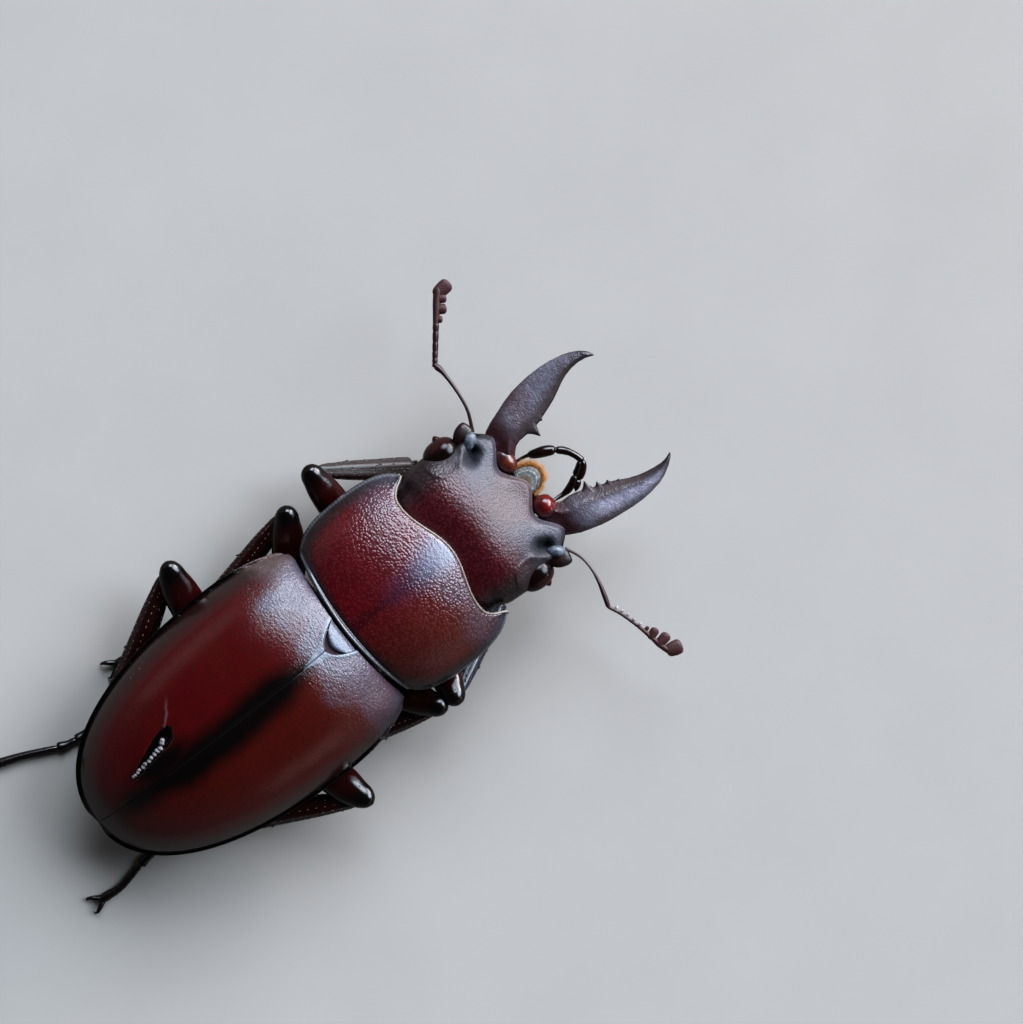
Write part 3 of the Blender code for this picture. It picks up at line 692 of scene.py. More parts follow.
LOOK = {
    "case": wing_case_finish(),
    "shield": neck_shield_finish(),
    "head": head_finish(),
    "jaw": jaw_finish(),
    "scutellum": scutellum_finish(),
    "eye": eye_finish(),
    "club": club_finish(),
    "amber": amber_finish(),
    "lip": lip_finish(),
    "thigh": pitted_finish("thigh_shell", 0.17, lambda m: m.fade(m.mark("along"), 0.42, 0.72),
                           (0.028, 0.0022, 0.0023), (0.003, 0.0018, 0.002),
                           (0.35, 0.22, 0.01), (0.07, 0.004)),
    "belly": pitted_finish("belly_shell", 0.3, Finish.broad, (0.014, 0.0035, 0.0035),
                           (0.026, 0.0055, 0.0045), (0.26, 0.26, 0.014), (0.05, 0.003)),
    # On the front shins the paler top is a painted sheen, grey on the left and a blue-grey reflection of the
    # sky on the right.
    "shin": shin_finish("shin_shell", 0.24, (0.01, 0.0018, 0.0018), (0.026, 0.004, 0.0036)),
    "front_shin_left": shin_finish("front_shin_shell", 0.44, (0.022, 0.0024, 0.0026),
                                   (0.03, 0.0225, 0.0205)),
    "front_shin_right": shin_finish("front_shin_sheen", 0.27, (0.007, 0.004, 0.006),
                                    (0.027, 0.031, 0.046)),
    # The cheek lobe is painted near-black as shade; the cheek knob is painted pale blue-grey as a reflection
    # of the sky.
    "lobe": plain_finish("cheek_lobe", 0.42, (0.02, 0.0036, 0.0042), PITCH, 0.08, 0.012),
    "knob": plain_finish("cheek_knob", 0.42, (0.135, 0.15, 0.18), (0.04, 0.046, 0.062), 0.12, 0.02),
    "foot": plain_finish("foot_shell", 0.26, (0.007, 0.003, 0.003), PITCH),
    "palp": plain_finish("palp_shell", 0.16, (0.014, 0.003, 0.003), PITCH),
    "stem": plain_finish("feeler_stem", 0.32, (0.036, 0.011, 0.01), (0.018, 0.0065, 0.007)),
    "crumb": plain_finish("scar_crumb", 0.8, (0.27, 0.25, 0.25), (0.13, 0.115, 0.115), 0.05, 0.02),
    "straw": plain_finish("straw_bead", 0.32, (0.15, 0.115, 0.085), (0.22, 0.195, 0.165), 0.05, 0.004),
    "gold": bristle_finish("golden_fringe", (0.22, 0.16, 0.11), (0.34, 0.29, 0.23)),
    "rust": bristle_finish("rust_fringe", (0.42, 0.16, 0.035), (0.55, 0.28, 0.08)),
    "bristle": bristle_finish("pale_bristle", (0.16, 0.085, 0.065), (0.34, 0.23, 0.19)),
    "tuft": bristle_finish("pale_tuft", (0.42, 0.33, 0.34), (0.62, 0.54, 0.56)),
}


# ---------------- wing cases

def case_half(ahead, flange=0.0):
    """Half width of the two wing cases, or of their dome inside a flat flange."""
    half = CASE_HALF - flange
    if ahead < CASE_WIDEST:
        return half * bow((CASE_WIDEST - ahead) / (CASE_WIDEST - flange), *CASE_TAIL)
    return half * bow((ahead - CASE_WIDEST) / CASE_SHOULDER, *CASE_FRONT)


def case_rise(ahead, flange=FLANGE):
    if ahead < CASE_HIGHEST:
        return CASE_RISE * bow((CASE_HIGHEST - ahead) / (CASE_HIGHEST - flange), *CASE_DROP)
    return CASE_RISE * (1.0 - 0.36 * ((ahead - CASE_HIGHEST) / (CASE_LENGTH - CASE_HIGHEST)) ** 3.4)


def case_rim(ahead):
    return mix(*CASE_RIM, ahead / CASE_LENGTH)


def case_dome(out, ahead):
    half = max(case_half(ahead, FLANGE), 0.001)
    return case_rim(ahead) + arch(out, half, case_rise(ahead), *CASE_BOW)


def case_base(out):
    """Front edge of the wing cases."""
    return CASE_LENGTH - 0.25 + 0.35 * (out / 4.4) ** 2 - 1.1 * max(out - 4.0, 0.0) ** 2


def scutellum_half(ahead):
    """Half width of the little triangle between the wing cases' bases."""
    tip, base, half = 13.82, 15.1, 0.98
    return half * unit((ahead - tip) / (base - tip)) ** 0.5


CASE_OUTLINE = Outline([(side * case_half(i / 20), i / 20) for i in range(0, 306) for side in (-1, 1)]
                       + [(x / 40, CASE_WIDEST - CASE_WIDEST * bow(x / 40 / CASE_HALF, *CASE_TAIL))
                          for x in range(-219, 220)])
SEAM = 0.012                # half the gap between the wing cases
# The old wound in the left wing case: how far ahead, its middle and half its width.
SCAR = ((2.95, 0.72, 0.02), (3.2, 0.8, 0.1), (3.5, 0.92, 0.17), (4.0, 1.08, 0.24), (4.5, 1.22, 0.3),
        (5.0, 1.36, 0.37), (5.5, 1.46, 0.4), (5.8, 1.52, 0.32), (5.95, 1.62, 0.18), (6.05, 1.7, 0.02))
CRACK = ((3.05, 6.78), (2.74, 6.62), (2.52, 6.4), (2.3, 6.3), (2.06, 6.02), (1.86, 5.8))


# The shoulder of a wing case and the dips beside it, as bumps() takes them.
CASE_BUMPS = ((0.11, 0.7, 4.0, 14.1, 1.0, 0.8), (0.17, 0.42, 4.55, 14.75, 1.0, 0.7),
              (-0.07, 0.8, 2.9, 14.4, 1.0, 1.0), (-0.06, 0.55, 0.0, 13.9, 0.9, 1.0))


def step_through(rows, value):
    """Straight-line reading of a table whose first column rises."""
    if value <= rows[0][0]:
        return rows[0][1:]
    for low, high in zip(rows, rows[1:]):
        if value <= high[0]:
            t = (value - low[0]) / (high[0] - low[0])
            return between(low[1:], high[1:], t)
    return rows[-1][1:]


def scar_depth(out, ahead):
    """0 away from the old wound in the left wing case, 1 on its floor."""
    middle, half = step_through(SCAR, ahead)
    if not SCAR[0][0] < ahead < SCAR[-1][0]:
        return 0.0
    ragged = 0.05 * noise.noise(Vector((out, ahead, 0.0)) * 4.0)
    return ease(half + ragged - abs(out - middle), -0.02, 0.09)


def crack_near(out, ahead):
    gap = min(off_segment(out, ahead, a, b) for a, b in zip(CRACK, CRACK[1:]))
    return mound(gap + 0.02 * noise.noise(Vector((out, ahead, 2.0)) * 6.0), 0.05) * ease(out, 3.05, 2.35)


def sheen_stripe_mask(out, ahead):
    """Mask of the raised edge beside the scutellum and of the stripe behind its tip, painted pale blue in the
    finish as a reflection of the sky.
    """
    border = 0.8 * mound(out - scutellum_half(ahead) - 0.08, 0.12) * ease(ahead, 13.5, 13.85)
    reach = 0.36 * (ahead - 12.5) / 1.2
    stripe = 0.0
    if reach > 0.02:
        stripe = 0.85 * (1 - ease(out, reach * 0.6, reach * 1.1)) * (1 - ease(ahead, 13.9, 14.2))
    return max(border, stripe)


def case_surface(side, out, ahead):
    """Top of a wing case, with its flange, bead, shoulder and seam, and its marks."""
    off = CASE_OUTLINE.off(out, ahead)
    pale = sheen_stripe_mask(out, ahead)
    bead = mound(off - 0.05, 0.055) * (1 - 0.7 * ease(ahead, 12.5, 14.5))
    seam = mound(out, 0.045) * (1 - 0.8 * ease(ahead, 12.4, 13.4))
    rolled_under = (1 - ease(case_base(out) - ahead, 0.0, 0.4)) ** 2 * ease(out, 1.5, 3.2)
    waves = noise.noise(Vector((side * out, ahead, 0.0)) * 0.9)
    up = case_dome(out, ahead) + bumps(CASE_BUMPS, out, ahead) + 0.05 * pale * ease(ahead, 13.4, 13.8)
    up += 0.055 * bead - 0.035 * seam - 0.22 * rolled_under + 0.012 * waves
    marks = {"rim": off, "pale": pale}
    if side == LEFT:
        marks["scar"] = scar_depth(out, ahead)
        marks["crack"] = crack_near(out, ahead) * (1 - marks["scar"])
        up += 0.035 * marks["crack"] - 0.24 * marks["scar"]
    return up, marks


def wing_case(side):
    def spot(a, b, inset):
        half_turn = sin(a * pi / 2)
        back = 0.13 - 0.08 * sin(pi * min(a * 1.2, 1.0) / 2) + 0.14 * a ** 6
        ahead = mix(0.2, CASE_LENGTH, b ** 1.5)
        # The half width and the front edge depend on each other, so the two settle in turn.
        for _ in range(5):
            inner = scutellum_half(ahead) + SEAM
            out = mix(inner, case_half(min(ahead, CASE_LENGTH)) - inset, half_turn)
            ahead = mix(back, case_base(out), b ** 1.5) + inset * (1 - b) ** 6
        return out, ahead

    def top(a, b):
        out, ahead = spot(a, b, 0.0)
        up, marks = case_surface(side, out, ahead)
        return place(side, out, ahead, up), marks

    def bottom(a, b):
        out, ahead = spot(a, b, SHELL)
        rise = max(case_rise(ahead) - SHELL, 0.05)
        up = case_rim(ahead) - 0.05 + arch(out, case_half(ahead) - SHELL, rise, *CASE_BOW)
        return place(side, out, ahead, up)

    name = SIDE_NAMES[side]
    bm = slab(140, 230, top, bottom, ("rim", "pale", "scar", "crack"))
    finish(bm, f"wing_case_{name}", "case", "wing_case", f"elytron_{name}")


def scar_crumbs():
    """Pale crumbs of healed shell along the inner lip of the wound."""
    rng = random.Random(4)
    trail = ((1.44, 5.34), (1.2, 5.04), (1.12, 4.62), (1.04, 4.2), (0.97, 3.8), (0.9, 3.46), (0.85, 3.18))
    bm = bmesh.new()
    count = 13
    for i in range(count):
        out, ahead = spline(trail, i / (count - 1))
        size = mix(0.135, 0.095, i / (count - 1)) * rng.uniform(0.8, 1.05)
        middle = place(LEFT, out + rng.uniform(-0.03, 0.03), ahead + rng.uniform(-0.03, 0.03),
                       case_dome(out, ahead) - 0.06)
        made = bmesh.ops.create_icosphere(bm, subdivisions=3, radius=size,
                                          matrix=Matrix.Translation(middle))["verts"]
        seed = Vector((rng.random() * 9, rng.random() * 9, 0.0))
        for v in made:
            v.co = middle + (v.co - middle) * (1.0 + 0.3 * noise.noise(v.co * 7.0 + seed))
    finish(bm, "scar_crumbs", "crumb", "wing_case")


def scutellum():
    """Rounded tongue between the wing cases, with a dark crescent groove round its end."""
    back, front = 13.86, 14.93

    def spot(a, b):
        ahead = mix(back, front, b)
        return (2 * a - 1) * scutellum_half(ahead), ahead

    def top(a, b):
        x, ahead = spot(a, b)
        beyond = ahead - (14.03 + 0.95 * (x + 0.04) ** 2)
        width = 0.17 * max(1 - (abs(x + 0.04) / 0.74) ** 2, 0.12)
        groove = mound(beyond, width)
        up = case_dome(abs(x), ahead) + 0.01 - 0.22 * groove
        up -= 0.08 * ease(ahead, 14.75, front)
        return place(1, x, ahead, up), {"groove": groove, "tongue": ease(beyond, -0.02, 0.06)}

    def bottom(a, b):
        x, ahead = spot(a, b)
        return place(1, x, ahead, case_dome(abs(x), ahead) - SHELL)

    bm = slab(60, 50, top, bottom, ("groove", "tongue"))
    finish(bm, "scutellum_plate", "scutellum", "wing_case", "scutellum")


# ---------------- neck shield

def shield_half(ahead):
    if ahead < SHIELD_WIDEST:
        return SHIELD_HALF * bow((SHIELD_WIDEST - ahead) / (SHIELD_WIDEST - SHIELD_BACK), *SHIELD_SIDES_BACK)
    shoulder = 3.5
    return SHIELD_HALF * bow((ahead - SHIELD_WIDEST) / shoulder, *SHIELD_SIDES_FRONT)


def shield_rise(ahead):
    highest, reach, fall = 17.6, 3.6, 0.28
    return SHIELD_RISE * (1.0 - fall * ((ahead - highest) / reach) ** 2)


def shield_front(x):
    """Front edge of the neck shield, drawn back on each side of the middle."""
    low, turn, corner = 20.65, 2.95, 4.0
    x = min(abs(x), corner)
    if x < turn:
        return low + 0.325 * (1 + cos(pi * x / turn))
    return low + 0.75 * (x - turn) ** 3


def shield_back(x):
    return SHIELD_BACK + 0.33 * (x / 3.5) ** 2


def shield_spot(a, b, inset):
    across = sin((a - 0.5) * pi)
    ahead = mix(SHIELD_BACK + 0.15, SHIELD_AHEAD, b)
    for _ in range(4):
        x = across * (shield_half(ahead) - inset)
        ahead = mix(shield_back(x), shield_front(x), b)
    return x, ahead, abs(across)


SHIELD_SIDES = Outline([shield_spot(a, b / 400, 0.0)[:2] for a in (0.0, 1.0) for b in range(401)])
SHIELD_REAR = Outline([shield_spot(a / 600, 0.0, 0.0)[:2] for a in range(601)])
SHIELD_LIP = Outline([shield_spot(a / 600, 1.0, 0.0)[:2] for a in range(601)])


def shield_top(x, ahead, across):
    """Top of the neck shield, with the beads along its edges, and its marks."""
    sides, rear, lip = SHIELD_SIDES.off(x, ahead), SHIELD_REAR.off(x, ahead), SHIELD_LIP.off(x, ahead)
    notch_spacing = 0.17
    side_bead = mound(sides - 0.06, 0.06) * (0.75 + 0.25 * sin(2 * pi * ahead / notch_spacing))
    side_groove, rear_groove = mound(sides - 0.22, 0.08), mound(rear - 0.26, 0.08)
    up = SHIELD_RIM + shield_rise(ahead) * bow(across, *SHIELD_BOW) - 0.06 * mound(lip, 0.08)
    up += 0.055 * side_bead - 0.03 * side_groove + 0.1 * mound(rear - 0.085, 0.075) - 0.08 * rear_groove
    bead = max(mound(rear - 0.085, 0.07), 0.75 * side_bead)
    calm = max(bead, 1 - ease(rear, 0.2, 0.4))
    return up, {"rim": min(sides, rear + 0.15), "bead": bead, "calm": calm}


def neck_shield():
    def top(a, b):
        x, ahead, across = shield_spot(a, b, 0.0)
        up, marks = shield_top(x, ahead, across)
        return place(1, x, ahead, up), marks

    def bottom(a, b):
        x, ahead, across = shield_spot(a, b, SHELL)
        rise = shield_rise(ahead) - SHELL
        return place(1, x, ahead, SHIELD_RIM - 0.12 + rise * bow(across, *SHIELD_BOW))

    bm = slab(230, 170, top, bottom, ("rim", "bead", "calm"))
    finish(bm, "neck_shield", "shield", "neck_shield", "pronotum")


def shield_edge(a):
    """A place on the front edge of the neck shield, from its right corner to its left."""
    x, ahead, across = shield_spot(a, 1.0, 0.0)
    return x, ahead, SHIELD_RIM + shield_rise(ahead) * bow(across, *SHIELD_BOW)


def shield_fringe():
    """Fine straw-coloured bead along the shield's front edge, with a short fringe on the head."""
    rows = []
    for i in range(81):
        x, ahead, up = shield_edge(mix(0.045, 0.955, i / 80))
        rows.append((x, ahead + 0.01, up - 0.07, 0.058, 0.062))
    finish(limb(1, rows, 400, 10), "shield_lip", "straw", "neck_shield")

    rng = random.Random(11)
    bm = bmesh.new()
    count = 520
    for i in range(count):
        x, ahead, up = shield_edge(mix(0.16, 0.84, i / (count - 1)))
        tip = (x + rng.uniform(-0.04, 0.04), ahead + rng.uniform(0.07, 0.11), up - 0.13)
        hair(bm, 1, (x, ahead, up - 0.1), tip, 0.013)
    finish(bm, "shield_fringe", "gold", "neck_shield")


# ---------------- head

def head_half(ahead):
    outline = ((21.3, 3.7), (22.0, 3.96), (22.9, 4.0), (23.7, 3.74), (24.45, 3.66),
               (24.9, 3.7), (25.24, 3.66), (25.44, 3.52), (25.64, 3.28), (26.05, 2.85))
    for (a, wide_a), (b, wide_b) in zip(outline, outline[1:]):
        if ahead <= b:
            t = max(ahead - a, 0.0) / (b - a)
            return mix(wide_a, wide_b, mix(t, ease(t, 0.0, 1.0), 0.75))
    return outline[-1][1]


def head_front(x):
    depth, spacing = HEAD_SCALLOP
    return HEAD_FRONT + depth * cos(2 * pi * x / spacing)


def head_length(ahead):
    return unit((ahead - HEAD_BACK) / HEAD_LENGTH)


def head_dome(x, ahead):
    """Top of the head: domed behind, falling to the mouth."""
    t = head_length(ahead)
    crown = 1.7 - 1.5 * ease(t, 0.22, 1.25)
    return HEAD_RIM + 0.12 * (1 - t) + arch(x, head_half(ahead), crown, 2.6, 1.9)


def head_marks(x, ahead):
    """Masks of the soft dimple inside each cheek, the dull dish round it and the cheek lobe; the finish
    paints the dimple and the lobe dark as shade.
    """
    out = abs(x)
    ragged = 0.1 * noise.noise(Vector((x, ahead, 0.0)) * 3.0)
    dimple = off_segment(out, ahead, (2.8, 24.88), (2.62, 24.6)) + ragged
    return {"hollow": min(1.7 * mound(dimple, 0.29), 1.0),
            "socket": bumps(((0.6, 0.8, 2.85, 25.05, 1.0, 0.9),), out, ahead),
            "lobe": ease(out, 3.3, 3.56) * ease(ahead, 23.9, 24.4)}


# The rise beside each hinge, and the dip behind it.
HEAD_BUMPS = ((0.1, 0.5, 2.75, 25.75, 1.0, 1.0), (-0.22, 0.36, 1.36, 25.5, 1 / 1.2, 1.0))


def head_surface(x, ahead, off):
    """Top of the head with its hollows, folds and rolled edge, and its marks."""
    out = abs(x)
    over_mouth = mound(x, 1.5) * mound(ahead - 25.1, 0.9)
    dimple = mound(off_segment(out, ahead, (2.8, 24.86), (2.66, 24.64)), 0.31)
    fold = mound(off_segment(out, ahead, (3.06, 24.55), (2.8, 24.15)), 0.24)
    cheek_step = ease(out, 3.3, 3.7) * ease(ahead, 24.2, 24.8)
    corner = (1 - ease(off, 0.0, 0.32)) ** 2 * ease(out, 3.0, 3.4) * ease(ahead, 24.2, 24.7)
    eye_rim = mound(hypot(out - EYE_AT[0], ahead - EYE_AT[1]) - 0.95, 0.12)
    rolled_under = (1 - ease(off, 0.0, 0.26)) ** 2
    up = head_dome(x, ahead) + bumps(HEAD_BUMPS, out, ahead) - 0.14 * over_mouth - 0.6 * dimple
    up += 0.09 * fold - 0.12 * cheek_step - 0.3 * corner + 0.04 * eye_rim - 0.16 * rolled_under
    return up, head_marks(x, ahead)


def head_spot(a, b):
    across = sin((a - 0.5) * pi * 0.86) / sin(0.43 * pi)
    ahead = mix(HEAD_BACK, HEAD_FRONT, b)
    for _ in range(4):
        x = across * head_half(ahead)
        ahead = mix(shield_front(x) + 3.0 * GAP, head_front(x), b)
    return x, ahead


HEAD_OUTLINE = Outline([head_spot(a, b / 300) for a in (0.0, 1.0) for b in range(301)]
                       + [head_spot(a / 600, 1.0) for a in range(601)])


def head():
    tucked = 0.45           # how far the head runs on under the neck shield

    def spot(a, b):
        x, ahead = head_spot(a, b)
        return x, ahead - tucked * (1 - b) ** 5 * mound(x, 3.4)

    def top(a, b):
        x, ahead = spot(a, b)
        off = HEAD_OUTLINE.off(x, ahead)
        up, marks = head_surface(x, max(ahead, HEAD_BACK - 0.3), off)
        return place(1, x, ahead, up - 0.45 * (1 - b) ** 5), marks

    def bottom(a, b):
        x, ahead = spot(a, b)
        depth = mix(1.4, 0.75, head_length(ahead) ** 2)
        return place(1, x, ahead, HEAD_RIM - 0.42 - arch(x, head_half(ahead), depth - 0.45, 2.0, 2.0))

    bm = slab(240, 160, top, bottom, ("hollow", "socket", "lobe"))
    finish(bm, "head_capsule", "head", "head", "head")


def cheek(side):
    """Lobe in front of the eye, painted dark as shade, and the smooth knob on its inner side, painted pale
    blue-grey as a reflection of the sky.
    """
    name = SIDE_NAMES[side]
    rows = ((3.42, 24.54, 3.98, 0.14, 0.1), (3.54, 24.68, 3.98, 0.3, 0.26), (3.7, 24.94, 3.98, 0.4, 0.36),
            (3.79, 25.18, 3.98, 0.42, 0.36), (3.86, 25.38, 3.96, 0.37, 0.32), (3.89, 25.5, 3.94, 0.26, 0.2),
            (3.9, 25.54, 3.94, 0.08, 0.06))

    def squared(t, angle):
        return (abs(cos(angle)) ** 3.2 + abs(sin(angle)) ** 3.2) ** (-1 / 3.2)

    finish(limb(side, rows, 30, 32, squared), f"cheek_lobe_{name}", "lobe", "head")
    rows = ((3.04, 24.76, 4.27, 0.04, 0.03), (3.08, 24.81, 4.28, 0.14, 0.12), (3.19, 24.96, 4.31, 0.24, 0.21),
            (3.34, 25.16, 4.32, 0.27, 0.23), (3.46, 25.32, 4.28, 0.24, 0.2), (3.54, 25.43, 4.23, 0.14, 0.12),
            (3.57, 25.47, 4.21, 0.04, 0.03))
    finish(limb(side, rows, 30, 28), f"cheek_knob_{name}", "knob", "head")


def eye(side):
    out, ahead, up = EYE_AT
    bm = bmesh.new()
    made = ball(bm, (0, 0, 0), (1, 1, 1), 64, 40)
    for v in made:
        squared = (abs(v.co.x) ** 2.3 + abs(v.co.y) ** 2.3 + abs(v.co.z) ** 2.3) ** (1 / 2.3)
        v.co /= squared
    bmesh.ops.scale(bm, vec=EYE_RADII, verts=made)
    bmesh.ops.translate(bm, vec=place(side, out, ahead, up), verts=made)
    spur = [(out + x, ahead + 0.22, up - 0.16, half, half * 0.8)
            for x, half in ((0.3, 0.34), (0.52, 0.28), (0.7, 0.2), (0.82, 0.11), (0.88, 0.03))]
    limb(side, spur, 16, 16, bm=bm)
    finish(bm, f"eye_dome_{SIDE_NAMES[side]}", "eye", "eye", f"eye_{SIDE_NAMES[side]}")


# ---------------- jaws and mouth

JAW_ENDS = (25.45, 32.2)    # how far ahead the jaws begin and end
# Jaws: how far ahead, the middle's height, and half the thickness.
JAW_DEPTH = ((25.45, 3.42, 0.3), (25.8, 3.5, 0.4), (26.4, 3.6, 0.5), (27.1, 3.68, 0.55), (28.0, 3.74, 0.54),
             (28.95, 3.82, 0.5), (29.85, 3.96, 0.44), (30.65, 4.12, 0.37), (31.4, 4.3, 0.28),
             (31.9, 4.42, 0.17), (32.2, 4.5, 0.03))
JAW_OUTER = {
    LEFT: ((25.45, 2.8), (25.8, 2.99), (26.0, 3.14), (26.4, 3.33), (26.8, 3.47), (27.2, 3.61), (27.6, 3.75),
           (28.1, 3.88), (28.6, 3.95), (29.2, 4.0), (29.8, 4.0), (30.4, 3.95), (31.0, 3.83), (31.4, 3.69),
           (31.8, 3.47), (32.05, 3.24), (32.2, 2.98)),
    RIGHT: ((25.45, 2.8), (25.8, 3.0), (26.1, 3.18), (26.6, 3.43), (27.1, 3.59), (27.6, 3.73), (28.1, 3.83),
            (28.8, 3.91), (29.3, 3.96), (29.9, 3.97), (30.4, 3.92), (31.0, 3.8), (31.4, 3.63), (31.8, 3.38),
            (32.1, 3.12), (32.2, 3.0)),
}
JAW_INNER = {
    LEFT: ((25.45, 1.1), (25.8, 1.04), (26.2, 1.16), (26.45, 1.48), (26.7, 1.72), (27.0, 1.82), (27.4, 1.84),
           (27.8, 1.86), (28.2, 1.94), (28.6, 2.07), (29.0, 2.21), (29.4, 2.36), (29.8, 2.56), (30.2, 2.78),
           (30.6, 2.95), (31.0, 3.05), (31.4, 3.08), (31.8, 3.03), (32.2, 2.88)),
    RIGHT: ((25.45, 1.1), (25.8, 1.04), (26.2, 1.26), (26.5, 1.55), (26.8, 1.68), (27.2, 1.68), (27.6, 1.76),
            (28.0, 1.92), (28.4, 2.08), (28.8, 2.22), (29.2, 2.36), (29.6, 2.56), (30.0, 2.76), (30.4, 2.91),
            (30.8, 3.0), (31.2, 3.06), (31.6, 3.09), (31.9, 3.04), (32.2, 2.92)),
}
# Teeth on the inner edges: how far ahead the tip is, its reach and its width.
JAW_TEETH = {
    LEFT: ((27.9, 0.52, 0.3), (28.42, 0.1, 0.12)),
    RIGHT: ((28.2, 0.46, 0.26), (28.66, 0.24, 0.15), (29.1, 0.15, 0.13), (29.56, 0.06, 0.1)),
}
# The amber knob at each jaw's root: its middle and half its size.
JAW_HINGES = {LEFT: ((1.5, 25.88, 3.7), (0.66, 0.46, 0.36)), RIGHT: ((1.34, 26.0, 3.78), (0.58, 0.54, 0.5))}


def jaw(side):
    name = SIDE_NAMES[side]
    crest = 0.32            # where the upper face turns down to the biting edge

    def tooth(ahead):
        reach = 0.0
        for tip, length, wide in JAW_TEETH[side]:
            rise = max(1 - max(tip - ahead, 0.0) / (1.5 * wide), 0.0) ** 1.4
            reach = max(reach, length * min(rise, max(1 - max(ahead - tip, 0.0) / (0.5 * wide), 0.0)))
        return reach

    def spot(a, b):
        ahead = mix(*JAW_ENDS, b)
        s = (1 - cos(pi * a)) / 2
        out = mix(step_through(JAW_INNER[side], ahead)[0], step_through(JAW_OUTER[side], ahead)[0], s)
        return s, out - tooth(ahead) * max(1 - s / 0.16, 0.0) ** 1.6, ahead

    def thickness(s):
        if s < crest:
            return 0.1 + 0.86 * sin(pi / 2 * s / crest) ** 1.3
        return 0.96 * bow((s - crest) / (1 - crest), 2.0, 1.7)

    def top(a, b):
        s, out, ahead = spot(a, b)
        middle, half = step_through(JAW_DEPTH, ahead)
        up = middle + half * (thickness(s) + 0.06 * mound(s - crest, 0.12) * (1 - ease(ahead, 31.4, 32.1)))
        up += 0.02 * noise.noise(Vector((side * out, ahead * 0.6, 3.0)) * 3.0) * thickness(s)
        return place(side, out, ahead, up), {"inner": 1 - s}

    def bottom(a, b):
        s, out, ahead = spot(a, b)
        middle, half = step_through(JAW_DEPTH, ahead)
        return place(side, out, ahead, middle - half * 0.9 * (0.08 + thickness(s) * 0.88))

    bm = slab(56, 300, top, bottom, ("inner",))
    bmesh.ops.smooth_vert(bm, verts=bm.verts, factor=0.5, use_axis_x=True, use_axis_y=True, use_axis_z=True)
    finish(bm, f"jaw_{name}", "jaw", "jaw", f"mandible_{name}")

    bm = bmesh.new()
    at, radii = JAW_HINGES[side]
    made = ball(bm, (0, 0, 0), radii, 48, 28)
    for v in made:
        v.co *= 1.0 + 0.06 * noise.noise(v.co * 3.0)
    bmesh.ops.translate(bm, vec=place(side, *at), verts=made)
    finish(bm, f"jaw_hinge_{name}", "amber", "jaw")


def mouth():
    """Upper lip: a low banded dome in front of the head, with a rust-coloured fringe."""
    def lip(a, b, up):
        angle = pi * a
        x = LIP_AT[0] + LIP_REACH[0] * b * cos(angle)
        ahead = LIP_AT[1] - 0.2 + (LIP_REACH[1] + 0.2) * b * max(sin(angle), 0.0) ** 0.9
        return place(1, x, ahead, LIP_AT[2] + up * bow(b, 2.4, 2.0)), b

    def top(a, b):
        point, reach = lip(a, 0.02 + 0.98 * b, 0.34)
        point.z += 0.05 * mound(b - 0.72, 0.1) - 0.03 * mound(b - 0.84, 0.04)
        return point, {"rim": reach}

    bm = slab(64, 40, top, lambda a, b: lip(a, 0.02 + 0.98 * b, -0.12)[0], ("rim",))
    finish(bm, "upper_lip", "lip", "mouth", "labrum")

    rng = random.Random(5)
    bm = bmesh.new()
    for _ in range(1300):
        angle = pi * rng.uniform(-0.02, 1.02)
        reach = rng.uniform(0.12, 0.36)
        heading = Vector((cos(angle), max(sin(angle), 0.0)))
        inset = rng.uniform(0.9, 1.0)
        x = LIP_AT[0] + LIP_REACH[0] * inset * heading.x
        ahead = LIP_AT[1] + LIP_REACH[1] * inset * heading.y ** 0.9
        lean = Vector((heading.x * 0.7 + rng.uniform(-0.5, 0.5), heading.y + rng.uniform(-0.3, 0.3))) * reach
        up = LIP_AT[2] + rng.uniform(-0.12, 0.1)
        hair(bm, 1, (x, ahead, up), (x + lean.x, ahead + lean.y, up - rng.uniform(0.0, 0.16)), 0.012)
    finish(bm, "mouth_fringe", "rust", "mouth")

    rows = ((0.0, 23.2, 2.3, 1.2, 0.16), (0.0, 24.3, 2.36, 1.55, 0.22),
            (0.0, 25.4, 2.6, 1.5, 0.24), (0.0, 26.1, 2.74, 1.05, 0.18))
    finish(limb(1, rows, 40, 40), "chin_plate", "belly", "underside", "mentum")


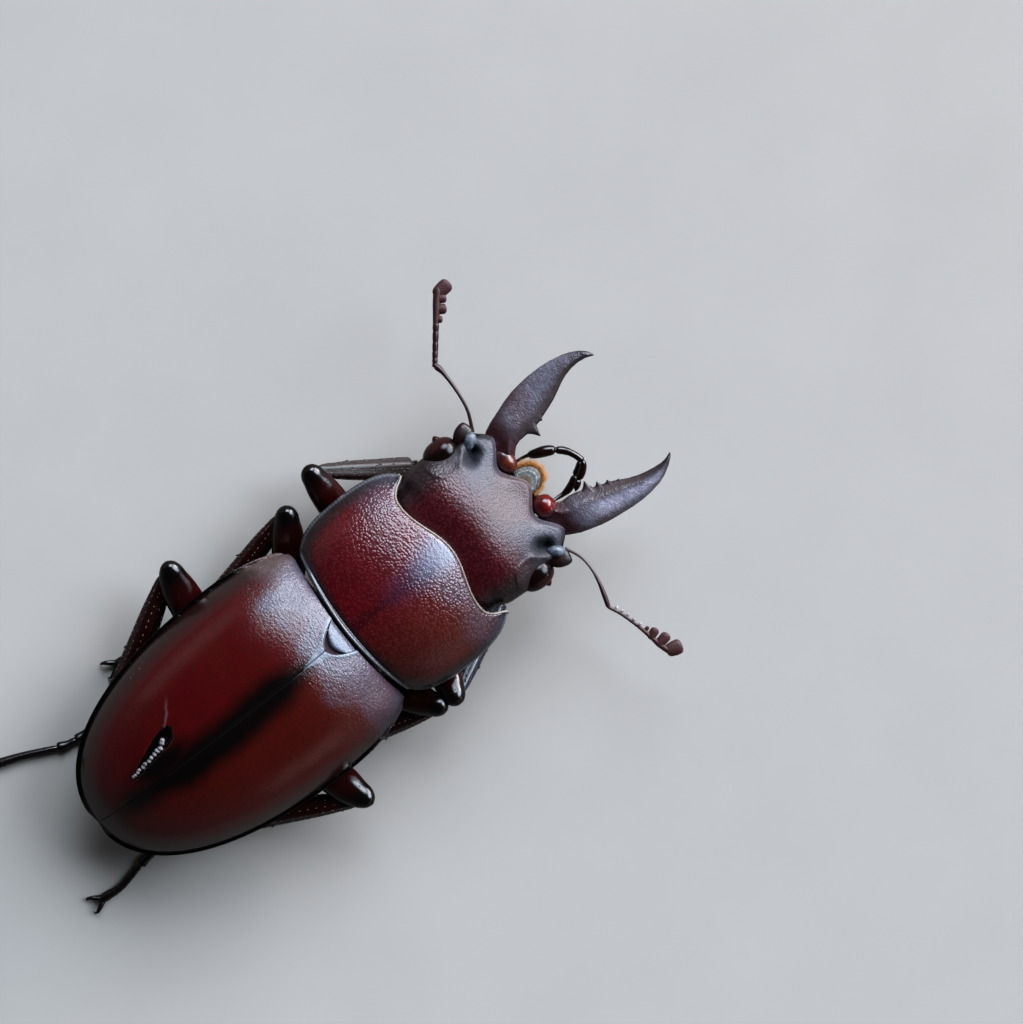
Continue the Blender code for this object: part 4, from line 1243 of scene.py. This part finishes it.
# Palps: (out, ahead, up, half thickness) with a waist at each joint.
PALPS = {
    LEFT: ((1.07, 26.2, 2.95, 0.05), (1.04, 26.55, 3.02, 0.06), (0.98, 26.86, 3.08, 0.07),
           (0.93, 26.97, 3.1, 0.13), (0.8, 27.25, 3.14, 0.18), (0.64, 27.62, 3.18, 0.2),
           (0.46, 27.94, 3.2, 0.17), (0.37, 28.06, 3.2, 0.09), (0.3, 28.14, 3.2, 0.13),
           (0.12, 28.34, 3.2, 0.14),
           (-0.18, 28.54, 3.2, 0.125), (-0.52, 28.68, 3.18, 0.12), (-0.76, 28.73, 3.16, 0.12),
           (-0.84, 28.73, 3.15, 0.075), (-0.93, 28.71, 3.14, 0.11), (-1.1, 28.58, 3.1, 0.13),
           (-1.27, 28.36, 3.05, 0.14), (-1.38, 28.16, 3.02, 0.12), (-1.43, 28.06, 3.0, 0.075),
           (-1.5, 27.97, 2.98, 0.12), (-1.66, 27.78, 2.94, 0.11), (-1.8, 27.6, 2.9, 0.02)),
    RIGHT: ((1.5, 26.4, 2.78, 0.05), (1.54, 26.72, 2.64, 0.07), (1.58, 27.05, 2.56, 0.09),
            (1.57, 27.32, 2.52, 0.13), (1.48, 27.64, 2.5, 0.14), (1.3, 27.96, 2.5, 0.12),
            (1.23, 28.06, 2.5, 0.07), (1.17, 28.15, 2.52, 0.11), (1.07, 28.36, 2.54, 0.12),
            (0.9, 28.56, 2.58, 0.1), (0.74, 28.68, 2.6, 0.02)),
}


def palps():
    for side in (LEFT, RIGHT):
        rows = [(*spot, half * 1.35, half * 1.24) for *spot, half in PALPS[side]]
        finish(limb(side, rows, 8 * len(rows), 24), f"mouth_palp_{SIDE_NAMES[side]}", "palp",
               "mouth", f"palp_{SIDE_NAMES[side]}")


# ---------------- feelers

# Feelers: the shaft and the beads with half thicknesses, the club's stem, and its plates
# as (root out, root ahead, tip out, tip ahead, half width).
FEELERS = {
    LEFT: {"shaft": ((3.52, 25.5, 3.7, 0.09), (4.5, 25.94, 3.86, 0.08), (5.55, 26.1, 3.98, 0.08),
                     (6.5, 26.13, 4.0, 0.105), (6.92, 26.08, 4.0, 0.155), (7.08, 26.02, 4.0, 0.12)),
           "beads": ((7.04, 25.98, 4.0), (7.62, 26.46, 3.97), (8.6, 27.28, 3.92)),
           "stem": ((8.54, 27.22, 3.92, 0.13), (9.0, 27.62, 3.9, 0.17), (9.45, 28.0, 3.88, 0.19),
                    (9.78, 28.34, 3.86, 0.2), (9.86, 28.56, 3.86, 0.1)),
           "plates": ((8.74, 27.42, 8.58, 27.66, 0.17), (9.1, 27.72, 8.86, 28.12, 0.25),
                      (9.46, 28.04, 9.26, 28.42, 0.22), (9.68, 28.22, 9.74, 28.98, 0.35))},
    RIGHT: {"shaft": ((3.52, 25.52, 3.7, 0.075), (4.3, 25.85, 3.84, 0.06), (5.05, 25.9, 3.96, 0.06),
                      (5.75, 25.8, 4.0, 0.085), (6.4, 25.62, 4.0, 0.12), (6.88, 25.46, 4.0, 0.115),
                      (7.0, 25.42, 4.0, 0.08)),
            "beads": ((6.98, 25.42, 4.0), (7.7, 25.72, 3.97), (8.6, 25.97, 3.92)),
            "stem": ((8.52, 25.95, 3.92, 0.08), (9.3, 26.12, 3.9, 0.11), (9.95, 26.24, 3.88, 0.14),
                     (10.55, 26.44, 3.86, 0.15), (10.84, 26.66, 3.86, 0.08)),
            "plates": ((9.0, 26.06, 8.92, 26.34, 0.1), (9.4, 26.12, 9.22, 26.58, 0.22),
                       (9.9, 26.22, 9.78, 26.86, 0.26), (10.44, 26.42, 10.62, 27.06, 0.37))},
}
# Pale tufts along the right feeler's beads: (out, ahead) of their tips.
TUFTS = ((7.22, 25.76), (7.52, 25.87), (7.83, 25.97), (8.2, 26.05), (8.56, 26.17))
# A plate of the club: how far along it, and its width there.
PLATE_SHAPE = ((-0.2, 0.55), (0.0, 0.85), (0.3, 0.96), (0.6, 1.0), (0.8, 0.94), (0.93, 0.7), (0.99, 0.4),
               (1.01, 0.08))


def feeler(side):
    shape, name = FEELERS[side], SIDE_NAMES[side]
    rows = [(*row, row[3]) for row in shape["shaft"]]
    finish(limb(side, rows, 60, 16), f"feeler_shaft_{name}", "stem", "limb", f"antenna_scape_{name}")

    beads = 6
    thick = (0.125, 0.135, 0.15) if side == LEFT else (0.08, 0.08, 0.085)
    rows = [(*spot, half, half) for spot, half in zip(shape["beads"], thick)]
    bm = limb(side, rows, 90, 16, lambda t, angle: 0.88 + 0.16 * abs(sin(pi * beads * t)) ** 0.6)
    finish(bm, f"feeler_beads_{name}", "stem", "limb", f"antenna_funicle_{name}")

    if side == RIGHT:
        rng = random.Random(21)
        bm = bmesh.new()
        for out, ahead in TUFTS:
            ball(bm, place(side, out, ahead - 0.04, 4.03), (0.085, 0.075, 0.065), 14, 9)
            for _ in range(44):
                root = Vector((out + rng.uniform(-0.05, 0.05), ahead - rng.uniform(0.02, 0.08), 4.05))
                lean = rng.uniform(-0.08, 0.08), rng.uniform(0.02, 0.12), rng.uniform(0.0, 0.1)
                hair(bm, side, root, root + Vector(lean), 0.012)
        finish(bm, "feeler_tufts_right", "tuft", "limb")

    # The club: a dark stem, and flattened plates that grow paler towards their ends.
    bm = limb(side, [(*row, row[3]) for row in shape["stem"]], 40, 20)
    for v in bm.verts:
        v[bm.verts.layers.float["along"]] = 0.1
    for root_out, root_ahead, tip_out, tip_ahead, wide in shape["plates"]:
        rows = []
        for t, w in PLATE_SHAPE:
            spot = between((root_out, root_ahead, 3.86), (tip_out, tip_ahead, 3.9), t)
            rows.append((*spot, wide * w, min(wide, 0.18) * (0.6 + 0.4 * w) * min(1.0, 2.2 * w)))
        limb(side, rows, 40, 24, bm=bm)
    finish(bm, f"feeler_club_{name}", "club", "club", f"antenna_club_{name}")


# ---------------- legs

# Legs: the hip, the knee, the ankle, and where the toes run in plan.
LEGS = {
    ("front", LEFT): ((2.32, 18.1, 1.62), (6.78, 18.3, 3.25), (3.72, 22.1, 0.75),
                      ((3.4, 23.0), (3.0, 24.1), (2.6, 25.1))),
    ("front", RIGHT): ((2.36, 18.0, 1.62), (6.02, 17.0, 3.45), (3.88, 21.4, 0.75),
                       ((3.65, 22.4), (3.35, 23.8), (3.1, 24.95))),
    ("middle", LEFT): ((2.32, 13.65, 1.55), (5.95, 16.25, 3.3), (4.58, 11.2, 0.75),
                       ((4.52, 9.9), (4.84, 7.4), (5.1, 5.0))),
    ("middle", RIGHT): ((2.32, 13.65, 1.55), (5.88, 16.25, 3.3), (4.62, 11.3, 0.75),
                        ((4.4, 10.1), (4.2, 7.6), (4.15, 5.5))),
    ("hind", LEFT): ((2.15, 9.3, 1.5), (7.3, 10.3, 3.55), (3.75, 4.3, 0.8),
                     ((3.45, 2.6), (3.5, 0.9), (4.34, -0.96), (4.95, -2.55))),
    ("hind", RIGHT): ((2.15, 9.3, 1.5), (7.1, 10.75, 3.55), (3.85, 4.1, 0.8),
                      ((3.35, 2.2), (3.2, 0.4), (3.52, -1.2), (3.42, -2.7))),
}
THIGH_HALF = {"front": 0.76, "middle": 0.76, "hind": 0.78}
SHIN_HALF = {"front": 0.5, "middle": 0.55, "hind": 0.61}
SHIN_THORNS = {"front": (0.3, 0.48, 0.66, 0.84), "middle": (0.55,), "hind": (0.6,)}
CLAWS = {"front": 0.42, "middle": 0.66, "hind": 0.66}
# Hip joints: their middle and half their size.
COXAE = {"front": ((1.25, 17.95, 1.92), (0.95, 0.62, 0.6)),
         "middle": ((1.3, 13.45, 1.92), (0.92, 0.58, 0.56)),
         "hind": ((1.15, 9.2, 1.9), (0.88, 0.55, 0.52))}


def hip_joint(pair, side, name):
    (out, ahead, up), (wide, deep, high) = COXAE[pair]
    profile = ((-0.98, 0.15), (-0.8, 0.62), (-0.4, 0.93), (0.1, 1.0), (0.6, 0.82), (0.92, 0.42), (1.0, 0.1))
    rows = [(out + wide * x, ahead, up, deep * s, high * s) for x, s in profile]
    finish(limb(side, rows, 30, 28), f"hip_{name}", "belly", "limb", f"coxa_{name}")


def thigh(pair, side, name, hip, knee):
    swell = THIGH_HALF[pair]
    profile = ((-0.06, 0.3, 0.4), (0.04, 0.56, 0.62), (0.2, 0.86, 0.86), (0.5, 1.06, 1.0),
               (0.76, 0.98, 0.94), (0.9, 0.8, 0.86), (0.98, 0.7, 0.78), (1.04, 0.46, 0.56),
               (1.07, 0.12, 0.15))
    rows = [(*between(hip, knee, t), swell * wide, 0.56 * high) for t, wide, high in profile]

    def shape(t, angle):
        """A groove under the knee for the shin, and a fuller hind edge."""
        groove = 0.12 * mound(sin((angle + pi / 2) / 2), 0.22) * ease(t, 0.5, 0.7)
        behind = max(cos(angle) * (1 if side == RIGHT else -1), 0.0)
        full = 0.26 * behind * mound(t - 0.55, 0.22) if pair == "hind" else 0.0
        return 1.0 - groove + full

    finish(limb(side, rows, 64, 36, shape), f"thigh_{name}", "thigh", "limb", f"femur_{name}")


def shin(pair, side, name, knee, ankle):
    wide = SHIN_HALF[pair]
    start, end = Vector(knee), Vector(ankle)
    run = end - start
    step = run.normalized()
    # The shin starts a little down from the knee, under the end of the thigh.
    top = start + step * 0.45 - Vector((0, 0, 0.34))
    profile = ((0.0, 0.46), (0.04, 0.62), (0.12, 0.7), (0.3, 0.86), (0.6, 0.98), (0.88, 1.1),
               (0.97, 1.06), (1.0, 0.7), (1.01, 0.2))
    rows = [(*between(top, end, t), wide * w, max(wide * w * 0.7, 0.16)) for t, w in profile]

    def shape(t, angle):
        return 1.0 + 0.05 * cos(6 * angle) * ease(t, 0.08, 0.2)

    edge = Vector((run.y, -run.x, 0.0)).normalized()
    if edge.x < 0:
        edge.negate()
    over = step.cross(edge)
    upper = (edge * 0.7 + over * (0.8 if over.z > 0 else -0.8)).normalized()
    bm = limb(side, rows, 70, 48, shape)
    # This mark is 1 on the faces that look up and outward, and 0 underneath; the finish paints the upper
    # faces lighter and the underside darker, as painted light and shade.
    lit_upper_face = bm.verts.layers.float.new("lit_upper_face")
    for v in bm.verts:
        spot = Vector((side * v.co.x, -v.co.y, v.co.z))
        t = (spot - top).dot(step) / (end - top).length
        height = (spot - top.lerp(end, t)).dot(upper) / wide
        v[lit_upper_face] = ease(height + 0.12 * noise.noise(v.co * 3.0), -0.1, 0.3)
    # Thorns down the outer edge, then two spurs at the ankle.
    for i, t in enumerate(SHIN_THORNS[pair]):
        reach = 0.1 if pair == "front" else 0.22
        root = Vector(between(top, end, t)) + edge * wide * 0.8
        tip = root + edge * (reach + 0.02 * i) + step * (reach * 0.8 + 0.02 * i)
        thorn(bm, side, root, tip, 0.1)
    for hand, lean in ((1, 0.1), (-1, 0.02)):
        root = end + edge * wide * 0.6 * hand - step * 0.05
        tip = root + step * 0.42 + edge * lean * hand - Vector((0, 0, 0.16))
        thorn(bm, side, root, tip, 0.085)
    look = "shin" if pair != "front" else f"front_shin_{SIDE_NAMES[side]}"
    finish(bm, f"shin_{name}", look, "limb", f"tibia_{name}")
    return top, end, edge, step


def shin_bristles(pair, side, name, top, end, edge, step):
    """Rows of short pale bristles lying along the shin."""
    rng = random.Random(seed_of(name))
    bm = bmesh.new()
    wide = SHIN_HALF[pair]
    over = step.cross(edge)
    if over.z < 0:
        over.negate()
    for angle in (-20, 15, 50, 85, 120, 160, 200):
        turn = radians(angle)
        for i in range(15):
            t = 0.1 + 0.058 * (i + rng.uniform(-0.3, 0.3))
            around = edge * cos(turn) + over * 0.72 * sin(turn)
            root = Vector(between(top, end, t)) + around * wide * mix(0.69, 1.15, t)
            tip = root + step * rng.uniform(0.1, 0.18) + around * rng.uniform(0.02, 0.06)
            hair(bm, side, root, tip, 0.024)
    finish(bm, f"shin_bristles_{name}", "bristle", "limb")


def seed_of(name):
    """A seed from a name, the same on every run."""
    return sum(ord(letter) * (i + 1) for i, letter in enumerate(name))


def foot(side, name, ankle, toes, claw):
    """Five toe joints on the floor, two hooked claws of the length given, and bristles under them."""
    level = 0.21
    route = [(ankle[0], ankle[1], ankle[2] - 0.1)] + [(out, ahead, level) for out, ahead in toes]
    rng = random.Random(seed_of(name) + 3)
    splits = (0.0, 0.17, 0.31, 0.44, 0.57, 1.0)     # where the joints begin and end
    bm = bmesh.new()
    bristles = bmesh.new()
    for i, (low, high) in enumerate(zip(splits, splits[1:])):
        last = i == len(splits) - 2
        start, middle, end = (spline(route, mix(low, high, t)) for t in (0.0, 0.5, 1.0))
        rows = []
        for t, half in ((0.0, 0.12), (0.1, 0.16), (0.5, 0.19), (0.85, 0.24), (0.97, 0.21), (1.02, 0.08)):
            spot = between(start, middle, t * 2) if t < 0.5 else between(middle, end, t * 2 - 1)
            rows.append((*spot, half * (0.92 if last else 1.0), half * 0.95))
        limb(side, rows, 26, 18, bm=bm, lowest=0.004)
        aim = (Vector(end) - Vector(start)).normalized()
        for _ in range(16):
            root = Vector(between(start, end, rng.uniform(0.3, 1.0))) - Vector((0, 0, 0.1))
            root.z = max(root.z, 0.02)
            tip = root + aim * rng.uniform(0.08, 0.18)
            tip += Vector((rng.uniform(-0.2, 0.2), rng.uniform(-0.2, 0.2), 0.0))
            tip.z = max(tip.z - 0.06, 0.006)
            hair(bristles, side, root, tip, 0.01)
    # The claws curve out to each side and down to the floor.
    last, before = Vector(spline(route, 1.0)), Vector(spline(route, 0.93))
    line = (last - before).normalized()
    across = Vector((line.y, -line.x, 0.0)).normalized()
    for hand in (1, -1):
        root = last - line * 0.1 + across * 0.09 * hand
        rows = []
        for i in range(9):
            t = i / 8
            spot = root + line * claw * sin(t * 1.5) + across * hand * claw * 0.48 * sin(t * 2.3)
            spot.z = max(level + 0.14 * sin(t * pi) - 0.2 * t ** 2, 0.03)
            half = mix(0.145, 0.018, t ** 1.2)
            rows.append((*spot, half, half))
        limb(side, rows, 26, 14, bm=bm, lowest=0.002)
    finish(bm, f"foot_{name}", "foot", "limb", f"tarsus_{name}")
    finish(bristles, f"foot_bristles_{name}", "bristle", "limb")


def leg(pair, side):
    hip, knee, ankle, toes = LEGS[pair, side]
    name = f"{pair}_{SIDE_NAMES[side]}"
    hip_joint(pair, side, name)
    thigh(pair, side, name, hip, knee)
    shin_bristles(pair, side, name, *shin(pair, side, name, knee, ankle))
    foot(side, name, ankle, toes, CLAWS[pair])


# ---------------- trunk

def trunk(name, stations, rings, half, crown, keel, node):
    """Body under the shells: rings of a domed top and a rounded underside."""
    across = 40
    made = []
    for i in range(rings):
        ahead = mix(*stations, i / (rings - 1))
        wide = half(ahead)
        ring = []
        for k in range(2 * across):
            turn = pi * (k + 0.5) / across
            x = wide * cos(turn)
            up = crown(x, ahead) if sin(turn) > 0 else keel(x, ahead)
            ring.append(place(1, x, ahead, up))
        made.append(ring)
    finish(loft(made), name, "belly", "underside", node)


def body():
    inset = SHELL + 1.5 * GAP
    shield_inset = inset + 2 * GAP
    seams = (2.3, 3.7, 5.1, 6.5, 7.9)

    def case_inside(ahead):
        waist = bow(max(ahead - 14.8, 0.0) / 0.55, 2.0, 2.0)
        return (case_half(ahead) - inset) * waist

    def belly_up(x, ahead):
        rise = max(case_rise(ahead, 0.0), inset + 0.1) - inset
        return case_rim(ahead) - 0.08 + arch(x, case_half(ahead) - inset, rise, *CASE_BOW)

    def belly_down(x, ahead):
        depth = BELLY_DEPTH * bow(max(8.0 - ahead, 0.0) / 9.0, 2.2, 1.6)
        up = case_rim(ahead) - arch(x, case_inside(ahead), depth, 2.0, 2.0)
        for seam in seams:
            up += 0.07 * mound(ahead - seam, 0.07)
            up -= 0.04 * ease(seam - ahead, 0.0, 0.5) * mound(ahead - seam, 0.5)
        return up

    def breast_down(x, ahead):
        up = belly_down(x, ahead)
        up += 0.1 * mound(x, 0.1) * ease(ahead, 8.9, 10.0)
        return up + 0.09 * mound(ahead - 12.6, 0.08)

    def shield_inside(ahead):
        neck = bow(max(ahead - 20.3, 0.0) / 0.75, 2.0, 2.0)
        waist = bow(max(15.9 - ahead, 0.0) / 0.75, 2.0, 2.0)
        return (shield_half(ahead) - shield_inset) * neck * waist

    def chest_up(x, ahead):
        drop = 0.2 + max(ahead - 19.5, 0.0) * 0.3
        rise = shield_rise(ahead) - shield_inset
        return SHIELD_RIM - drop + arch(x, shield_half(ahead) - shield_inset, rise, *SHIELD_BOW)

    def chest_down(x, ahead):
        up = SHIELD_RIM - 0.12 - arch(x, shield_inside(ahead), CHEST_DEPTH, 1.6, 1.6)
        return up + 0.1 * mound(ahead - 19.9, 0.1)

    trunk("abdomen_skin", (1.0, 8.6), 120, case_inside, belly_up, belly_down, "abdomen")
    trunk("breast_skin", (8.7, 15.0), 90, case_inside, belly_up, breast_down, "thorax_underside")
    trunk("collar_skin", (15.3, 20.7), 70, shield_inside, chest_up, chest_down, "prothorax_underside")


# ---------------- floor, light and camera

def pale_floor():
    bm = bmesh.new()
    bmesh.ops.create_grid(bm, x_segments=2, y_segments=2, size=2.5)
    mesh = bpy.data.meshes.new("floor")
    bm.to_mesh(mesh)
    bm.free()
    m = Finish("pale_floor", 0.85)
    # The shell mirrors a darker ground than the pale one seen round it.
    m.paint((0.35, 0.33, 0.305),
            (m.cloud(6.0), (0.385, 0.362, 0.335)),
            (m.node("LightPath", output=3), (0.12, 0.108, 0.095)))
    mesh.materials.append(m.material)
    floor = stand("floor", mesh)


def towards(azimuth, tilt):
    """Direction at an angle from straight ahead towards the beetle's left, tilted from overhead."""
    turn, lean = radians(azimuth), radians(tilt)
    return Vector((sin(turn) * sin(lean), -cos(turn) * sin(lean), cos(lean)))


def panel(name, azimuth, tilt, distance, size, radiance, colour):
    """Soft panel of light seen from the beetle: azimuth from straight ahead towards its left."""
    lamp = bpy.data.lights.new(name, "AREA")
    lamp.shape = "RECTANGLE"
    lamp.size, lamp.size_y = size
    lamp.energy = radiance * pi * size[0] * size[1]
    lamp.color = colour
    heading = towards(azimuth, tilt)
    holder = stand(name, lamp)
    middle = Vector((0.0, 0.0, 0.004))
    holder.location = middle + heading * distance
    holder.rotation_mode = "QUATERNION"
    holder.rotation_quaternion = heading.to_track_quat("Z", "Y")


def glow(w, heading, azimuth, tilt, inner, outer, radiance):
    """A soft round window of sky: full within one angle of its middle, gone beyond another."""
    near = w.node("VectorMath", {0: heading, 1: towards(azimuth, tilt)}, output=1,
                  operation="DOT_PRODUCT")
    return w.fade(near, cos(radians(outer)), cos(radians(inner)), 0.0, radiance)


def studio():
    panel("low_front", 8, 74, 0.42, (0.2, 0.12), 15.0, (1.0, 0.88, 0.88))
    panel("low_right", -50, 70, 0.42, (0.05, 0.035), 14.0, (0.84, 0.92, 1.0))
    panel("side_left", 100, 70, 0.45, (0.3, 0.14), 0.25, (1.0, 0.97, 0.94))
    panel("side_right", -80, 68, 0.45, (0.36, 0.16), 0.3, (1.0, 0.9, 0.8))
    world = bpy.data.worlds.new("tent")
    world.use_nodes = True
    w = Wiring(world.node_tree)
    heading = w.node("TexCoord", output=0)
    up = w.node("SeparateXYZ", {0: heading}, output=2)
    # A dim tent, dimmer overhead, with two soft round windows in front, about half-way up.
    tent = w.fade(up, 0.2, 0.86, 0.1, 0.015)
    window = w.calc("MAXIMUM", glow(w, heading, -8, 53, 7, 24, 12.0), glow(w, heading, 42, 53, 7, 24, 12.0))
    back = world.node_tree.nodes["Background"]
    w.join(w.plus(tent, window), back.inputs["Strength"])
    w.join(w.tint(w.fade(window, 0.0, 1.0), (0.98, 0.98, 1.0), (0.77, 0.87, 1.0)), back.inputs["Color"])
    bpy.context.scene.world = world
    bpy.context.scene.view_settings.view_transform = "Standard"
    bpy.context.scene.view_settings.look = "Medium High Contrast"


def camera():
    """Looks almost straight down, a little from the beetle's left, and turned on its axis."""
    turn, lean = radians(38.25), radians(6.0)
    distance, half_seen = 155.0, 24.24
    aim = (place(1, -0.62, 24.6, 3.5) + Vector((MIDLINE, TAIL, 0.0))) * MM
    back = Vector((sin(lean), 0.0, cos(lean)))
    forward = Vector((0.0, -1.0, 0.0))
    right = cos(turn) * forward - sin(turn) * back.cross(forward)
    up = back.cross(right)
    spot = Matrix((right, up, back)).transposed().to_4x4()
    spot.translation = aim + back * distance * MM
    data = bpy.data.cameras.new("camera")
    data.sensor_width = 36
    data.lens = data.sensor_width / 2 * distance / half_seen
    data.clip_start = 0.001
    holder = stand("camera", data)
    holder.matrix_world = spot
    bpy.context.scene.camera = holder


# ---------------- the whole beetle

def beetle():
    body()
    neck_shield()
    shield_fringe()
    scutellum()
    head()
    mouth()
    palps()
    scar_crumbs()
    for side in (LEFT, RIGHT):
        wing_case(side)
        eye(side)
        cheek(side)
        jaw(side)
        feeler(side)
        for pair in PAIRS:
            leg(pair, side)


beetle()
pale_floor()
studio()
camera()
